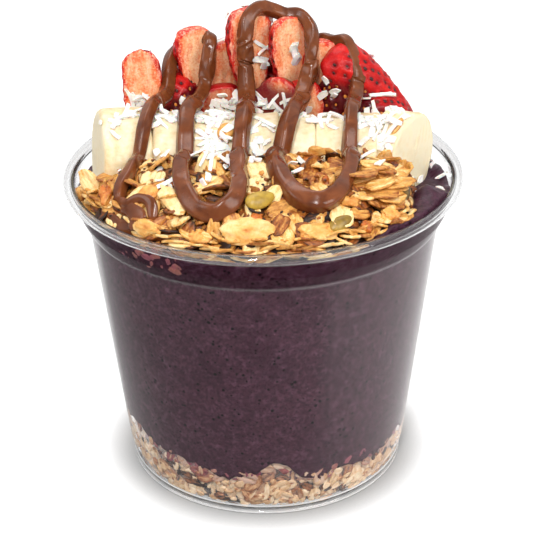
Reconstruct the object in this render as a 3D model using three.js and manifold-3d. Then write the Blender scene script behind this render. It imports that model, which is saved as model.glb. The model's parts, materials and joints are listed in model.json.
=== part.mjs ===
// Acai bowl in a clear cup: crushed granola below, acai puree, then granola,
// banana coins, strawberry pieces, coconut shreds and a thick hazelnut drizzle.
// Millimetres, +Z up. The origin is the centre of the ring that the cup stands on.
import * as THREE from "three";
import { mergeVertices } from "three/addons/utils/BufferGeometryUtils.js";
import Module from "manifold-3d";

const wasm = await Module();
wasm.setup();

// ---- Driving dimensions ----
const GAP = 0.3; // clearance between touching pieces
const SIDES = 36; // facets round the cup and its contents

// Cup: [radius, height] from the middle of the floor outwards and up to the lip.
const LIP_RADIUS = 58.5;
const CUP_HEIGHT = 94.2;
const CUP_OUTSIDE = [
  [0, 1.0],
  [37.6, 1.0],
  [38.4, 0],
  [40.6, 0],
  [41.9, 2.2],
  [42.9, 7],
  [51.8, 80.3],
  [52.7, 81.3],
  [54.5, 85.2],
  [55.6, CUP_HEIGHT - 3.4],
  [57.6, CUP_HEIGHT - 3.3],
  [58.3, CUP_HEIGHT - 2.6],
  [LIP_RADIUS, CUP_HEIGHT - 1.3],
  [57.9, CUP_HEIGHT - 0.3],
  [56.9, CUP_HEIGHT],
  [55.9, CUP_HEIGHT - 0.4],
];
const CUP_INSIDE = [
  [0, 1.7],
  [38.5, 1.7],
  [40.6, 2.1],
  [41.8, 5],
  [51.1, 80.6],
  [52.1, 81.8],
  [53.8, 85.6],
  [54.9, CUP_HEIGHT - 3.6],
  [55.2, CUP_HEIGHT - 1.6],
];
const FLOOR = CUP_INSIDE[0][1];
const BASE_RINGS = [0, 0.5, 1]; // parts of the radius where its top bends
const WALL_LEVELS = [80.6, 81.8, 85.6]; // where the wall steps out below the lip

// Fillings
const BASE_HEIGHT = 15.9; // mean top of the lower granola
const ACAI_HEIGHT = 87.5; // mean top of the acai
const HEAP_RIM = 93.5; // upper granola at the cup's wall
const HEAP_RISE = 10.2; // its rise from the wall to the bananas
const HEAP_SLOPE = 8.5; // distance from the wall over which it rises most
const HEAP_BOTTOM = 62; // well below the acai's top, which cuts it off
const BASE_INSET = 1.4; // its core from the wall, where flakes lie flat against the cup
const FLAKE_THICKNESS = 1.1;

// Banana row, from left to right: [thickness, radius], middle, turn towards the front
// and lean to the right, in degrees.
const COINS = [
  [[13, 15.3], [-41, -1, 97.5], 11, 5],
  [[9.8, 14.3], [-27, 0.3, 97], 5, 2],
  [[14.8, 14], [-13.6, 0.9, 95.7], 3, 0],
  [[9.3, 13.7], [-0.4, 1.4, 95.8], 0, 1],
  [[10, 13.9], [10.1, 1.2, 95.4], -1, 0],
  [[7.3, 13.8], [19.8, 0.6, 95], -3, -1],
  [[8.2, 13.8], [29.4, 0.2, 95.3], -8, -2],
  [[8.8, 13.2], [39.8, 1, 96.8], -33, -2],
];

// Strawberry pieces: cut, [length, width] of the whole berry, middle of the piece,
// where its tip points and where its cut face looks.
const BERRIES = [
  ["half", [30, 12.6], [-35, 21, 108], [0.05, 0, -1], [-0.1, -0.95, 0.2]],
  ["slice", [20, 13], [-19.8, 26, 117.6], [0.1, 0, -1], [0.35, -0.93, 0.1]],
  ["half", [21, 13], [-12, 28, 112], [0, 0, -1], [0.4, -0.9, 0.2]],
  ["half", [26, 15], [-5, 26, 121], [0.06, 0, -1], [0.55, -0.8, 0.1]],
  ["half", [22, 13], [6.9, 26, 119.4], [0.05, 0, -1], [0.55, -0.8, 0.2]],
  ["slice", [21, 11], [18, 26, 112.6], [0, 0, -1], [0.2, -0.95, 0.2]],
  ["half", [40, 17], [35.4, 20, 107.4], [0.66, -0.05, -0.75], [-0.4, 0.75, -0.45]],
  ["half", [23, 17], [3.5, 19, 103], [-0.6, 0, -0.8], [-0.2, -0.85, 0.4]],
  ["slice", [20, 14], [-11.5, 18.5, 102], [0.2, 0, -1], [0, -0.9, 0.4]],
  ["slice", [21, 12], [13, 19, 102.5], [0.1, 0, -1], [0.2, -0.95, 0.2]],
  ["half", [24, 17], [23, 19.5, 102.5], [-0.3, -0.1, -1], [0, 0.9, -0.3]],
  ["half", [26, 20], [38, 17, 100.5], [0.8, -0.15, -0.55], [-0.1, 0.8, -0.5]],
  ["half", [24, 17], [-25, 19.5, 102], [0.3, -0.2, -0.9], [0.1, 0.9, -0.3]],
  ["half", [27, 22], [-33, 34, 98.5], [-0.6, 0.3, -0.8], [0.2, -0.9, 0.1]],
  ["half", [27, 22], [-17, 39.5, 98.5], [0.2, 0.2, -1], [0.1, -0.9, 0.3]],
  ["half", [27, 21], [0, 41, 98.5], [-0.3, 0.3, -1], [0, -0.9, 0.3]],
  ["quarter", [28, 24], [15.5, 39, 98.5], [0.2, 0.2, -1], [-0.3, -0.9, 0.2]],
  ["half", [27, 21], [31.5, 34.5, 97], [0.7, 0.3, -0.7], [-0.3, -0.8, 0.3]],
  ["half", [22, 16], [-22, 34, 112], [-0.5, 0.4, -0.7], [0.2, -0.9, 0.2]],
  ["half", [22, 16], [-6, 38.5, 113], [0.8, 0.3, -0.5], [0, -0.8, -0.3]],
  ["slice", [22, 17], [9, 37.5, 113], [0.5, 0.4, -0.8], [0.1, 0.8, 0.6]],
  ["half", [22, 16], [24, 34, 112], [0.8, 0.2, -0.6], [0, -0.8, 0.1]],
];

// Drizzle: one rope from the front left over the fruit and back, twice. On the granola
// a point is [x, y], over the bananas [x in front, x on top], on the berries [x, y, z].
// `raised` lifts it over a wider slice.
const DRIZZLE_RADIUS = 2.4;
const DRIZZLE_LIFT = 2.8; // its middle above what it lies on
const DRIZZLE_STEP = 7.5; // length of a straight stretch of it
const ROW_AXIS = { y: 0.8, z: 95.7, radius: 14 }; // the banana row as one cylinder
const ROW_ANGLES = [62, 34, 6]; // degrees forward of its top, where the rope bears
const DRIZZLE = [
  { granola: [[-39.6, -32.5], [-39.4, -28], [-37.5, -23], [-36.2, -19]] },
  { bananas: [-35.2, -32], raised: 1.5 },
  { berries: [[-30.8, 9, 111.6], [-28.6, 15, 111.4], [-28, 20, 113.6], [-27.5, 24, 117.5]] },
  { berries: [[-26, 29, 119.5], [-21.5, 32, 120.2], [-17.2, 29, 123.6], [-15.4, 24.5, 124.6]] },
  { berries: [[-15.8, 21.5, 119.5], [-17, 19, 113], [-18.6, 12.5, 110.8]] },
  { bananas: [-22.3, -21.8], down: true },
  { granola: [[-22.4, -20], [-22.4, -29], [-21, -36.5], [-17.3, -42.8], [-12.6, -45.4]] },
  { granola: [[-8.3, -43.2], [-6.5, -36.5], [-6.6, -28], [-6.7, -20]] },
  { bananas: [-6.5, -5] },
  { berries: [[-4.6, 8.5, 110.6], [-4.6, 14.5, 112], [-4.8, 18.4, 118.4], [-4.9, 19.6, 127]] },
  { berries: [[-4, 22, 132], [-0.6, 25, 134.2], [3.4, 27, 132.8], [7.2, 27.5, 131.2]] },
  { berries: [[11.4, 27, 131.2], [14.4, 25, 128.6], [14.8, 21.8, 121.5], [13, 18, 114]] },
  { berries: [[11, 11, 110.8]] },
  { bananas: [4.8, 8.6], down: true },
  { granola: [[3.4, -20], [3.8, -28], [6.2, -36], [10.5, -41.4], [15.5, -43]] },
  { granola: [[19.6, -40], [22.4, -33], [24.2, -25], [24.5, -19]] },
  { bananas: [24.3, 25.6] },
  { berries: [[26.8, 9, 110.8], [27.9, 14.5, 112], [27.6, 18.6, 117.2], [26.4, 22, 121]] },
  { berries: [[24.6, 25.5, 123.4], [21.4, 27.5, 122.6], [17, 30.5, 123.4]] },
];

// Nuts and baked clusters that stand out of the granola: [x, y], [length, width, height]
// and turn in degrees; then the pumpkin seeds.
const LUMPS = [
  [[-25, -37], [14, 6, 4.5], -62],
  [[-5, -49], [15, 7, 5], 0],
  [[15, -48.5], [13, 6.5, 4.5], 8],
  [[-33, -34], [10, 7, 5], 30],
  [[-43.5, -26], [8, 5, 4.5], 80],
  [[-31, -43], [11, 6, 4], -35],
  [[-18, -49], [7, 5, 4], 20],
  [[30, -31], [9, 7, 4], 15],
  [[35, -37], [9, 7, 5], 40],
  [[28, -44], [5, 4, 4], 0],
  [[-14.5, -30], [8, 6, 4], -20],
  [[14, -29], [9, 6, 4], 25],
];
const PUMPKIN_SEEDS = [
  [[-0.5, -43], [8, 4.5, 2.4], 18],
  [[20.5, -47], [7.5, 4.2, 2.4], 35],
  [[39, -29.5], [7, 4, 2.4], 60],
];
const FLAKES = { tried: 260, kept: 27, radius: [2.6, 4.2], reach: 52 };
const BASE_FLAKES = { kept: 24, radius: [2.2, 3.4] };
const SHREDS = { tried: 150, kept: 24, length: [3.5, 7.5], width: 1.4, thickness: 0.6 };
const SURROUND = 300; // side of a block that holds everything

// ---- Small tools ----
const WELD = 1e-3; // vertices nearer than this are one
let seed = 1;

// A repeatable random number from `low` to `high`.
function random(low, high) {
  seed = (seed * 1664525 + 1013904223) % 4294967296;
  return low + ((high - low) * seed) / 4294967296;
}

const degrees = THREE.MathUtils.degToRad;

function smoothstep(low, high, value) {
  const t = THREE.MathUtils.clamp((value - low) / (high - low), 0, 1);
  return t * t * (3 - 2 * t);
}

// The solid that a closed geometry bounds.
function solidOf(geometry) {
  const bare = geometry.index ? geometry.toNonIndexed() : geometry.clone();
  bare.deleteAttribute("normal");
  bare.deleteAttribute("uv");
  const merged = mergeVertices(bare, WELD);
  const mesh = new wasm.Mesh({
    numProp: 3,
    vertProperties: merged.attributes.position.array,
    triVerts: new Uint32Array(merged.index.array),
  });
  return new wasm.Manifold(mesh);
}

function geometryOf(solid) {
  const { numProp, vertProperties, triVerts } = solid.getMesh();
  const geometry = new THREE.BufferGeometry();
  geometry.setAttribute("position", new THREE.BufferAttribute(vertProperties, numProp));
  geometry.setIndex(new THREE.BufferAttribute(triVerts, 1));
  return geometry;
}

// The named mesh of a solid, welded, without what welding pinches off.
function meshOf(name, solid, material) {
  const geometry = geometryOf(largest(solidOf(geometryOf(solid))));
  geometry.computeVertexNormals();
  const mesh = new THREE.Mesh(geometry, material);
  mesh.name = name;
  return mesh;
}

// A solid of revolution about Z from [radius, height] points.
function turned(profile, sides = SIDES) {
  const points = profile.map(([radius, height]) => new THREE.Vector2(radius, height));
  return new THREE.LatheGeometry(points, sides).rotateX(Math.PI / 2);
}

// Moves each vertex of a geometry to what `shift(x, y, z)` returns.
function reshaped(geometry, shift) {
  const at = geometry.attributes.position;
  for (let i = 0; i < at.count; i++) {
    at.setXYZ(i, ...shift(at.getX(i), at.getY(i), at.getZ(i)));
  }
  return geometry;
}

function joined(solids) {
  return solids.reduce((whole, solid) => whole.add(solid));
}

function overlaps(a, b) {
  return a.intersect(b).volume() > 1e-4;
}

// The largest body of a solid, without the scraps that a cut leaves.
function largest(solid) {
  const bodies = solid.decompose();
  return bodies.reduce((best, body) => (body.volume() > best.volume() ? body : best));
}

// A solid made larger by `margin` on every side, about its own middle.
function grown(solid, margin = GAP + 0.1) {
  const { min, max } = solid.boundingBox();
  const middle = min.map((low, i) => (low + max[i]) / 2);
  const factor = min.map((low, i) => 1 + (2 * margin) / (max[i] - low));
  const back = middle.map((value) => -value);
  return solid.translate(back).scale(factor).translate(middle);
}

// Puts a piece and its clearance in place: local -Z goes to `tip`, local -X to `face`.
function placed(solid, at, tip, face) {
  const z = new THREE.Vector3(...tip).normalize().negate();
  const x = new THREE.Vector3(...face).negate();
  x.addScaledVector(z, -x.dot(z)).normalize();
  const y = new THREE.Vector3().crossVectors(z, x);
  const matrix = new THREE.Matrix4().makeBasis(x, y, z).setPosition(...at);
  return {
    solid: solid.transform(matrix.elements),
    clearance: grown(solid).transform(matrix.elements),
  };
}

// ---- Materials ----
function material(color, roughness, options = {}) {
  return new THREE.MeshStandardMaterial({ color, roughness, metalness: 0, ...options });
}

const MATERIALS = {
  clear_plastic: material(0xf4f6f7, 0.05, { transparent: true, opacity: 0.3 }),
  granola: material(0xc9995c, 0.7),
  acai: material(0x3d2230, 0.45),
  banana: material(0xf0e3c4, 0.5),
  strawberry: material(0xc0202a, 0.35),
  hazelnut_spread: material(0x5e3420, 0.25),
};

// ---- Surfaces of the fillings ----
function wallRadius(height) {
  const wall = CUP_INSIDE.slice(1);
  const above = wall.findIndex(([, level]) => level >= height);
  if (above < 0) return wall.at(-1)[0];
  if (above === 0) return wall[0][0];
  const [lowRadius, lowLevel] = wall[above - 1];
  const [highRadius, highLevel] = wall[above];
  const part = (height - lowLevel) / (highLevel - lowLevel);
  return lowRadius + part * (highRadius - lowRadius);
}

// Top of the lower granola: level in the middle, and round the wall higher on the left,
// with six slow waves.
function baseTop(x, y) {
  const azimuth = Math.atan2(y, x);
  const relief = -2 * Math.cos(azimuth + 0.35) - 1.6 * Math.cos(6 * azimuth);
  return BASE_HEIGHT + relief * smoothstep(5, 40, Math.hypot(x, y));
}

// Top of the acai: a little higher in front, with a mound by the last banana coin.
function acaiTop(x, y) {
  const swell = 0.7 * Math.sin(x / 9 + 1) * Math.cos(y / 11);
  const mound = 5 * Math.exp(-(((x - 43) / 7) ** 2) - ((y + 19) / 6) ** 2);
  return ACAI_HEIGHT - 0.035 * y + swell + mound;
}

// Top of the bare heap of upper granola, which falls away behind and on the right.
function heapTop(x, y) {
  const fromWall = Math.max(53 - Math.hypot(x, y), 0);
  const bumps = 0.8 * Math.sin(x / 4) * Math.cos(y / 4.5);
  const fall = 12 * smoothstep(38, 47, x) + 18 * smoothstep(-16, -8, y);
  return HEAP_RIM + HEAP_RISE * (1 - Math.exp(-fromWall / HEAP_SLOPE)) + bumps - fall;
}

// ---- Cup ----
function cup() {
  return solidOf(turned([...CUP_OUTSIDE, ...CUP_INSIDE.toReversed()]));
}

// The space inside the cup and above it, less the clearance.
function cavity() {
  const inside = CUP_INSIDE.map(([radius, level]) => [Math.max(radius - GAP, 0), level]);
  inside[0][1] += GAP;
  inside[1][1] += GAP;
  const [rim] = inside.at(-1);
  return solidOf(turned([...inside, [rim, 2 * CUP_HEIGHT], [0, 2 * CUP_HEIGHT]]));
}

// A filling between two uneven surfaces, `inset` from the wall. The rings are the parts
// of its radius at which a surface bends.
function filling({ bottom, top, inset, sideLevels, bottomRings, topRings }) {
  const low = 0;
  const high = CUP_HEIGHT;
  const tolerance = 0.01;
  const passes = 4;
  const profile = [
    ...bottomRings.map((part) => [part, low]),
    ...sideLevels.map((level) => [1, level]),
    ...topRings.toReversed().map((part) => [part, high]),
  ];
  function surfaceLevel(x, y, z) {
    if (z < low + tolerance) return bottom(x, y);
    if (z > high - tolerance) return top(x, y);
    return z;
  }
  return reshaped(turned(profile), (x, y, z) => {
    let radius = wallRadius(ACAI_HEIGHT) - inset;
    let level = z;
    for (let pass = 0; pass < passes; pass++) {
      level = surfaceLevel(x * radius, y * radius, z);
      radius = wallRadius(level) - inset;
    }
    return [x * radius, y * radius, level];
  });
}

// ---- Banana ----
function bananaCoin([[thickness, radius], middle, turn, lean], i) {
  const bevel = 0.9;
  const half = thickness / 2;
  const profile = [
    [0, -half],
    [radius - bevel, -half],
    [radius, bevel - half],
    [radius, half - bevel],
    [radius - bevel, half],
    [0, half],
  ];
  const coin = reshaped(turned(profile, 16), (x, y, z) => {
    const lobes = 1 - 0.02 * Math.cos(3 * Math.atan2(y, x) + 1.7 * i);
    return [x * lobes, y * lobes, z];
  });
  const axis = new THREE.Vector3(-1, 0, 0);
  axis.applyEuler(new THREE.Euler(0, degrees(lean), degrees(turn)));
  return placed(solidOf(coin), middle, axis.toArray(), [0, 0, -1]);
}

// ---- Strawberries ----
function wholeBerry([length, width]) {
  const profile = [
    [0, -0.5],
    [0.22, -0.42],
    [0.41, -0.15],
    [0.5, 0.16],
    [0.43, 0.38],
    [0.22, 0.49],
    [0, 0.47],
  ];
  return solidOf(turned(profile.map(([r, z]) => [r * width, z * length]), 10));
}

// What is kept of a berry, as parts of its width to either side of its axis.
const CUTS = {
  half: { x: [0, 1], y: [-1, 1] },
  quarter: { x: [0, 1], y: [0, 1] },
  slice: { x: [-0.16, 0.16], y: [-1, 1] },
};

function berryPiece([cut, size, at, tip, face]) {
  const [length, width] = size;
  const { x, y } = CUTS[cut];
  const block = new THREE.BoxGeometry((x[1] - x[0]) * width, (y[1] - y[0]) * width, 2 * length);
  block.translate(((x[0] + x[1]) / 2) * width, ((y[0] + y[1]) / 2) * width, 0);
  const piece = wholeBerry(size).intersect(solidOf(block));
  const { min, max } = piece.boundingBox();
  const middle = min.map((low, i) => -(low + max[i]) / 2);
  return placed(piece.translate(middle), at, tip, face);
}

// ---- Drizzle ----
function drizzleRoute() {
  const points = DRIZZLE.flatMap(({ granola, bananas, berries, down, raised = 0 }) => {
    if (berries) return berries;
    if (granola) return granola.map(([x, y]) => [x, y, heapTop(x, y) + DRIZZLE_LIFT]);
    const reach = ROW_AXIS.radius + DRIZZLE_LIFT + raised;
    const [front, top] = bananas;
    const climb = ROW_ANGLES.map((angle, i) => [
      THREE.MathUtils.lerp(front, top, i / (ROW_ANGLES.length - 1)),
      ROW_AXIS.y - reach * Math.sin(degrees(angle)),
      ROW_AXIS.z + reach * Math.cos(degrees(angle)),
    ]);
    return down ? climb.toReversed() : climb;
  });
  return new THREE.CatmullRomCurve3(points.map((point) => new THREE.Vector3(...point)));
}

function drizzleRope(radius) {
  const route = drizzleRoute();
  const section = new THREE.Shape();
  section.absarc(0, 0, radius, 0, 2 * Math.PI);
  const steps = Math.round(route.getLength() / DRIZZLE_STEP);
  const options = { steps, curveSegments: 4, bevelEnabled: false, extrudePath: route };
  return solidOf(new THREE.ExtrudeGeometry(section, options));
}

// ---- Granola pieces ----
// Lays a geometry, flat on XY, on a surface at `at` whose normal is `normal`.
function laid(geometry, at, normal, turn) {
  const up = new THREE.Vector3(0, 0, 1);
  const swing = new THREE.Quaternion().setFromUnitVectors(up, normal.clone().normalize());
  return solidOf(geometry.rotateZ(turn).applyQuaternion(swing).translate(...at));
}

// A rolled oat: a thin oval disc.
function flake(radius) {
  const disc = new THREE.CylinderGeometry(radius, 0.9 * radius, FLAKE_THICKNESS, 6);
  return disc.rotateX(Math.PI / 2).scale(1, random(0.65, 0.9), 1);
}

// A nut, a seed or a baked cluster: a rough lump.
function lump([length, width, height]) {
  return new THREE.IcosahedronGeometry(1, 0).scale(length / 2, width / 2, height / 2);
}

// The heap's slope at a point, shaken a little.
function heapNormal(x, y, shake) {
  const step = 2;
  const slopeX = (heapTop(x + step, y) - heapTop(x - step, y)) / (2 * step);
  const slopeY = (heapTop(x, y + step) - heapTop(x, y - step)) / (2 * step);
  return new THREE.Vector3(-slopeX + random(-shake, shake), -slopeY + random(-shake, shake), 1);
}

// Fuses pieces to a core, skipping those that would cross a neighbour or hang loose.
function fused(core, pieces, neighbours, most = Infinity) {
  let whole = core;
  let kept = 0;
  for (const piece of pieces) {
    if (kept === most) break;
    if (overlaps(piece, neighbours) || !overlaps(piece, core)) continue;
    whole = whole.add(piece);
    kept += 1;
  }
  return whole;
}

function heapLumps() {
  return [...LUMPS, ...PUMPKIN_SEEDS].map(([[x, y], size, turn]) => {
    const at = [x, y, heapTop(x, y) + 0.15 * size[2]];
    return laid(lump(size), at, heapNormal(x, y, 0), degrees(turn));
  });
}

// Flakes spread evenly by the golden angle, each turned and tipped at random.
function heapFlakes() {
  const golden = Math.PI * (3 - Math.sqrt(5));
  const flakes = [];
  for (let i = 0; i < FLAKES.tried; i++) {
    const reach = FLAKES.reach * Math.sqrt((i + 0.5) / FLAKES.tried);
    const x = reach * Math.cos(i * golden);
    const y = reach * Math.sin(i * golden);
    const at = [x, y, heapTop(x, y) + random(0.1, 0.7)];
    const disc = flake(random(...FLAKES.radius));
    const leaf = laid(disc, at, heapNormal(x, y, 0.45), random(0, Math.PI));
    if (y < -12 && x < 45) flakes.push(leaf);
  }
  return flakes;
}

// Flakes pressed flat against the wall, all round the lower granola.
function baseFlakes(innerWall) {
  const flakes = [];
  for (let i = 0; i < BASE_FLAKES.kept; i++) {
    const azimuth = (i * 2 * Math.PI) / BASE_FLAKES.kept + random(-0.05, 0.05);
    const outward = new THREE.Vector3(Math.cos(azimuth), Math.sin(azimuth), -0.12);
    const radius = random(...BASE_FLAKES.radius);
    const top = baseTop(wallRadius(0) * outward.x, wallRadius(0) * outward.y);
    const level = i % 2 ? FLOOR + GAP + radius : top - GAP - radius;
    const reach = wallRadius(level) - BASE_INSET + 0.1;
    const at = [reach * outward.x, reach * outward.y, level];
    const pressed = laid(flake(radius), at, outward, random(0, Math.PI));
    flakes.push(pressed.intersect(innerWall));
  }
  return flakes;
}

// ---- Coconut ----
// Shreds fall on whatever fruit a slanting line from the front meets first, most of
// them where the bananas meet the strawberries.
function sprinkle(pieces, obstacles) {
  const fruit = pieces.map((piece) => piece.mesh);
  const slant = degrees(32);
  const along = new THREE.Vector3(0, Math.cos(slant), -Math.sin(slant));
  const distance = SURROUND / 2;
  let kept = 0;
  for (let i = 0; i < SHREDS.tried && kept < SHREDS.kept; i++) {
    const aim = new THREE.Vector3(random(-46, 46), 0, 96 + random(0, 16) + random(0, 16));
    const start = aim.clone().addScaledVector(along, -distance);
    const [hit] = new THREE.Raycaster(start, along).intersectObjects(fruit);
    const size = [random(...SHREDS.length), SHREDS.width, SHREDS.thickness];
    const turn = random(0, Math.PI);
    if (!hit) continue;
    const strip = new THREE.BoxGeometry(...size);
    const shred = laid(strip, hit.point.toArray(), hit.face.normal, turn);
    const piece = pieces.find(({ mesh }) => mesh === hit.object);
    const others = pieces.filter((other) => other !== piece);
    if (overlaps(shred, obstacles)) continue;
    if (others.some((other) => overlaps(shred, other.clearance))) continue;
    piece.solid = piece.solid.add(shred);
    kept += 1;
  }
}

// ---- Assembly ----
const cupSolid = cup();
const inside = cavity();

// Each topping gives way to those before it, which show more of their form.
const bananas = COINS.map(bananaCoin);
const berries = BERRIES.map(berryPiece);
const taken = [];
for (const piece of [...bananas, ...berries]) {
  for (const other of taken) {
    if (overlaps(piece.solid, other.clearance)) {
      piece.solid = piece.solid.subtract(other.clearance);
    }
  }
  piece.solid = largest(piece.solid.intersect(inside));
  taken.push(piece);
}
const toppings = joined(taken.map((piece) => piece.clearance));

const acaiBlock = solidOf(
  filling({
    bottom: (x, y) => baseTop(x, y) + GAP / 2,
    top: acaiTop,
    inset: GAP,
    sideLevels: WALL_LEVELS,
    bottomRings: BASE_RINGS,
    topRings: [0, 0.35, 0.65, 0.86, 1],
  }),
);
const acaiSolid = largest(acaiBlock.subtract(toppings));

const baseCore = solidOf(
  filling({
    bottom: () => FLOOR + GAP,
    top: (x, y) => baseTop(x, y) - GAP / 2,
    inset: BASE_INSET,
    sideLevels: [],
    bottomRings: [0, 1],
    topRings: BASE_RINGS,
  }),
);

const heapBlock = solidOf(
  filling({
    bottom: () => HEAP_BOTTOM,
    top: heapTop,
    inset: GAP,
    sideLevels: WALL_LEVELS,
    bottomRings: [0, 1],
    topRings: [0, 0.4, 0.6, 0.74, 0.87, 1],
  }),
);
const acaiClearance = joined([acaiBlock, acaiBlock.translate([0, 0, GAP])]);
const heapCore = largest(heapBlock.subtract(acaiClearance).subtract(toppings).intersect(inside));

const ropeClearance = drizzleRope(DRIZZLE_RADIUS + GAP);
const restsOn = toppings.add(heapBlock.translate([0, 0, GAP]));
const rope = largest(drizzleRope(DRIZZLE_RADIUS).subtract(restsOn));

const heapPieces = [...heapLumps(), ...heapFlakes()];
const surround = solidOf(new THREE.BoxGeometry(SURROUND, SURROUND, SURROUND));
const outside = surround.subtract(inside);
const heapNeighbours = joined([toppings, ropeClearance, outside, acaiClearance]);
const mostPieces = LUMPS.length + PUMPKIN_SEEDS.length + FLAKES.kept;
const heap = largest(fused(heapCore, heapPieces, heapNeighbours, mostPieces));
const acaiRaised = acaiBlock.translate([0, 0, -GAP]);
const base = largest(fused(baseCore, baseFlakes(inside), acaiRaised));

const part = new THREE.Group();
const fruit = [
  ...bananas.map((coin, i) => ({ ...coin, name: `banana_${i + 1}`, look: "banana" })),
  ...berries.map((berry, i) => ({ ...berry, name: `strawberry_${i + 1}`, look: "strawberry" })),
];
for (const piece of fruit) piece.mesh = meshOf(piece.name, piece.solid, MATERIALS[piece.look]);
sprinkle(fruit, joined([ropeClearance, heap, heapBlock, outside]));

part.add(meshOf("cup", cupSolid, MATERIALS.clear_plastic));
part.add(meshOf("granola_base", base, MATERIALS.granola));
part.add(meshOf("acai", acaiSolid, MATERIALS.acai));
part.add(meshOf("granola_top", heap, MATERIALS.granola));
for (const { name, solid, look } of fruit) part.add(meshOf(name, solid, MATERIALS[look]));
part.add(meshOf("hazelnut_drizzle", rope, MATERIALS.hazelnut_spread));

export default part;
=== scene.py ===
"""Acai bowl in a clear cup: the looks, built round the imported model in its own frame.

Lengths are in millimetres until a mesh is made, +Z up, the front towards -Y.
"""

import json
import math

import bpy
import numpy as np
from mathutils import Matrix, Vector
from mathutils.bvhtree import BVHTree

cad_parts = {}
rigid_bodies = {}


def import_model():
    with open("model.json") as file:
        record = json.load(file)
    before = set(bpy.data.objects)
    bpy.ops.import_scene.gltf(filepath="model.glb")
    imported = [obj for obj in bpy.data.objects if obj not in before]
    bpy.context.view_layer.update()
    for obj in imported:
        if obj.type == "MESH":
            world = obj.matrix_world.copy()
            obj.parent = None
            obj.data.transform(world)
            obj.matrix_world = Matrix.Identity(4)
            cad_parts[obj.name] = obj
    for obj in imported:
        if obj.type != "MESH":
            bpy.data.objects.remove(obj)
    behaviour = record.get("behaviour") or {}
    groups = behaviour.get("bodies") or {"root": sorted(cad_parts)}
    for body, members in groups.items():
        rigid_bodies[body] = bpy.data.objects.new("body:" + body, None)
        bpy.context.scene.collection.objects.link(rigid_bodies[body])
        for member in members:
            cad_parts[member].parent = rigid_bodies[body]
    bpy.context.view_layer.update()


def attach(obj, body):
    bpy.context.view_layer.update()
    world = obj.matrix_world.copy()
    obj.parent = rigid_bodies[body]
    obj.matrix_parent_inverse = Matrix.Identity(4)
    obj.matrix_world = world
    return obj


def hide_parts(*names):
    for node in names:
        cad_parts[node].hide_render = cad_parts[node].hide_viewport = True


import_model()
rng = np.random.default_rng(11)

MM = 0.001
GOLDEN = math.pi * (3 - math.sqrt(5))

# ---- Sizes shared with the CAD ----
# Inside of the cup: radius, height.
CUP_INSIDE = [
    (38.5, 1.7), (40.6, 2.1), (41.8, 5), (51.1, 80.6), (52.1, 81.8), (53.8, 85.6), (54.9, 90.6), (55.2, 92.6),
]

# Upper edge of the lower granola at the wall, by azimuth.
LOW_EDGE = [
    (-180, 16.5), (-162, 18), (-150, 20), (-143, 18), (-134, 17), (-126, 16), (-117, 15.5), (-108, 15),
    (-100, 14.5), (-94, 17), (-89, 18.7), (-83, 17.6), (-77, 15.4), (-69, 13.2), (-65, 14.5), (-58, 15.7),
    (-50, 14), (-42, 12.8), (-35, 13.3), (-26, 14.3), (-15, 13), (20, 14), (60, 17), (100, 14.5), (140, 17),
    (180, 16.5),
]
BASE_HEIGHT, ACAI_HEIGHT = 15.9, 87.5
# Upper granola: its level at the wall, its rise from there and over what distance.
HEAP_RIM, HEAP_RISE, HEAP_SLOPE = 93.5, 10.2, 8.5

# Banana row: thickness, radius, middle, turn towards the front and lean, in degrees.
COINS = [
    (13, 15.3, (-41, -1, 97.5), 11, 5),
    (9.8, 14.3, (-27, 0.3, 97), 5, 2),
    (14.8, 14, (-13.6, 0.9, 95.7), 3, 0),
    (9.3, 13.7, (-0.4, 1.4, 95.8), 0, 1),
    (10, 13.9, (10.1, 1.2, 95.4), -1, 0),
    (7.3, 13.8, (19.8, 0.6, 95), -3, -1),
    (8.2, 13.8, (29.4, 0.2, 95.3), -8, -2),
    (8.8, 13.2, (39.8, 1, 96.8), -33, -2),
]

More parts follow.
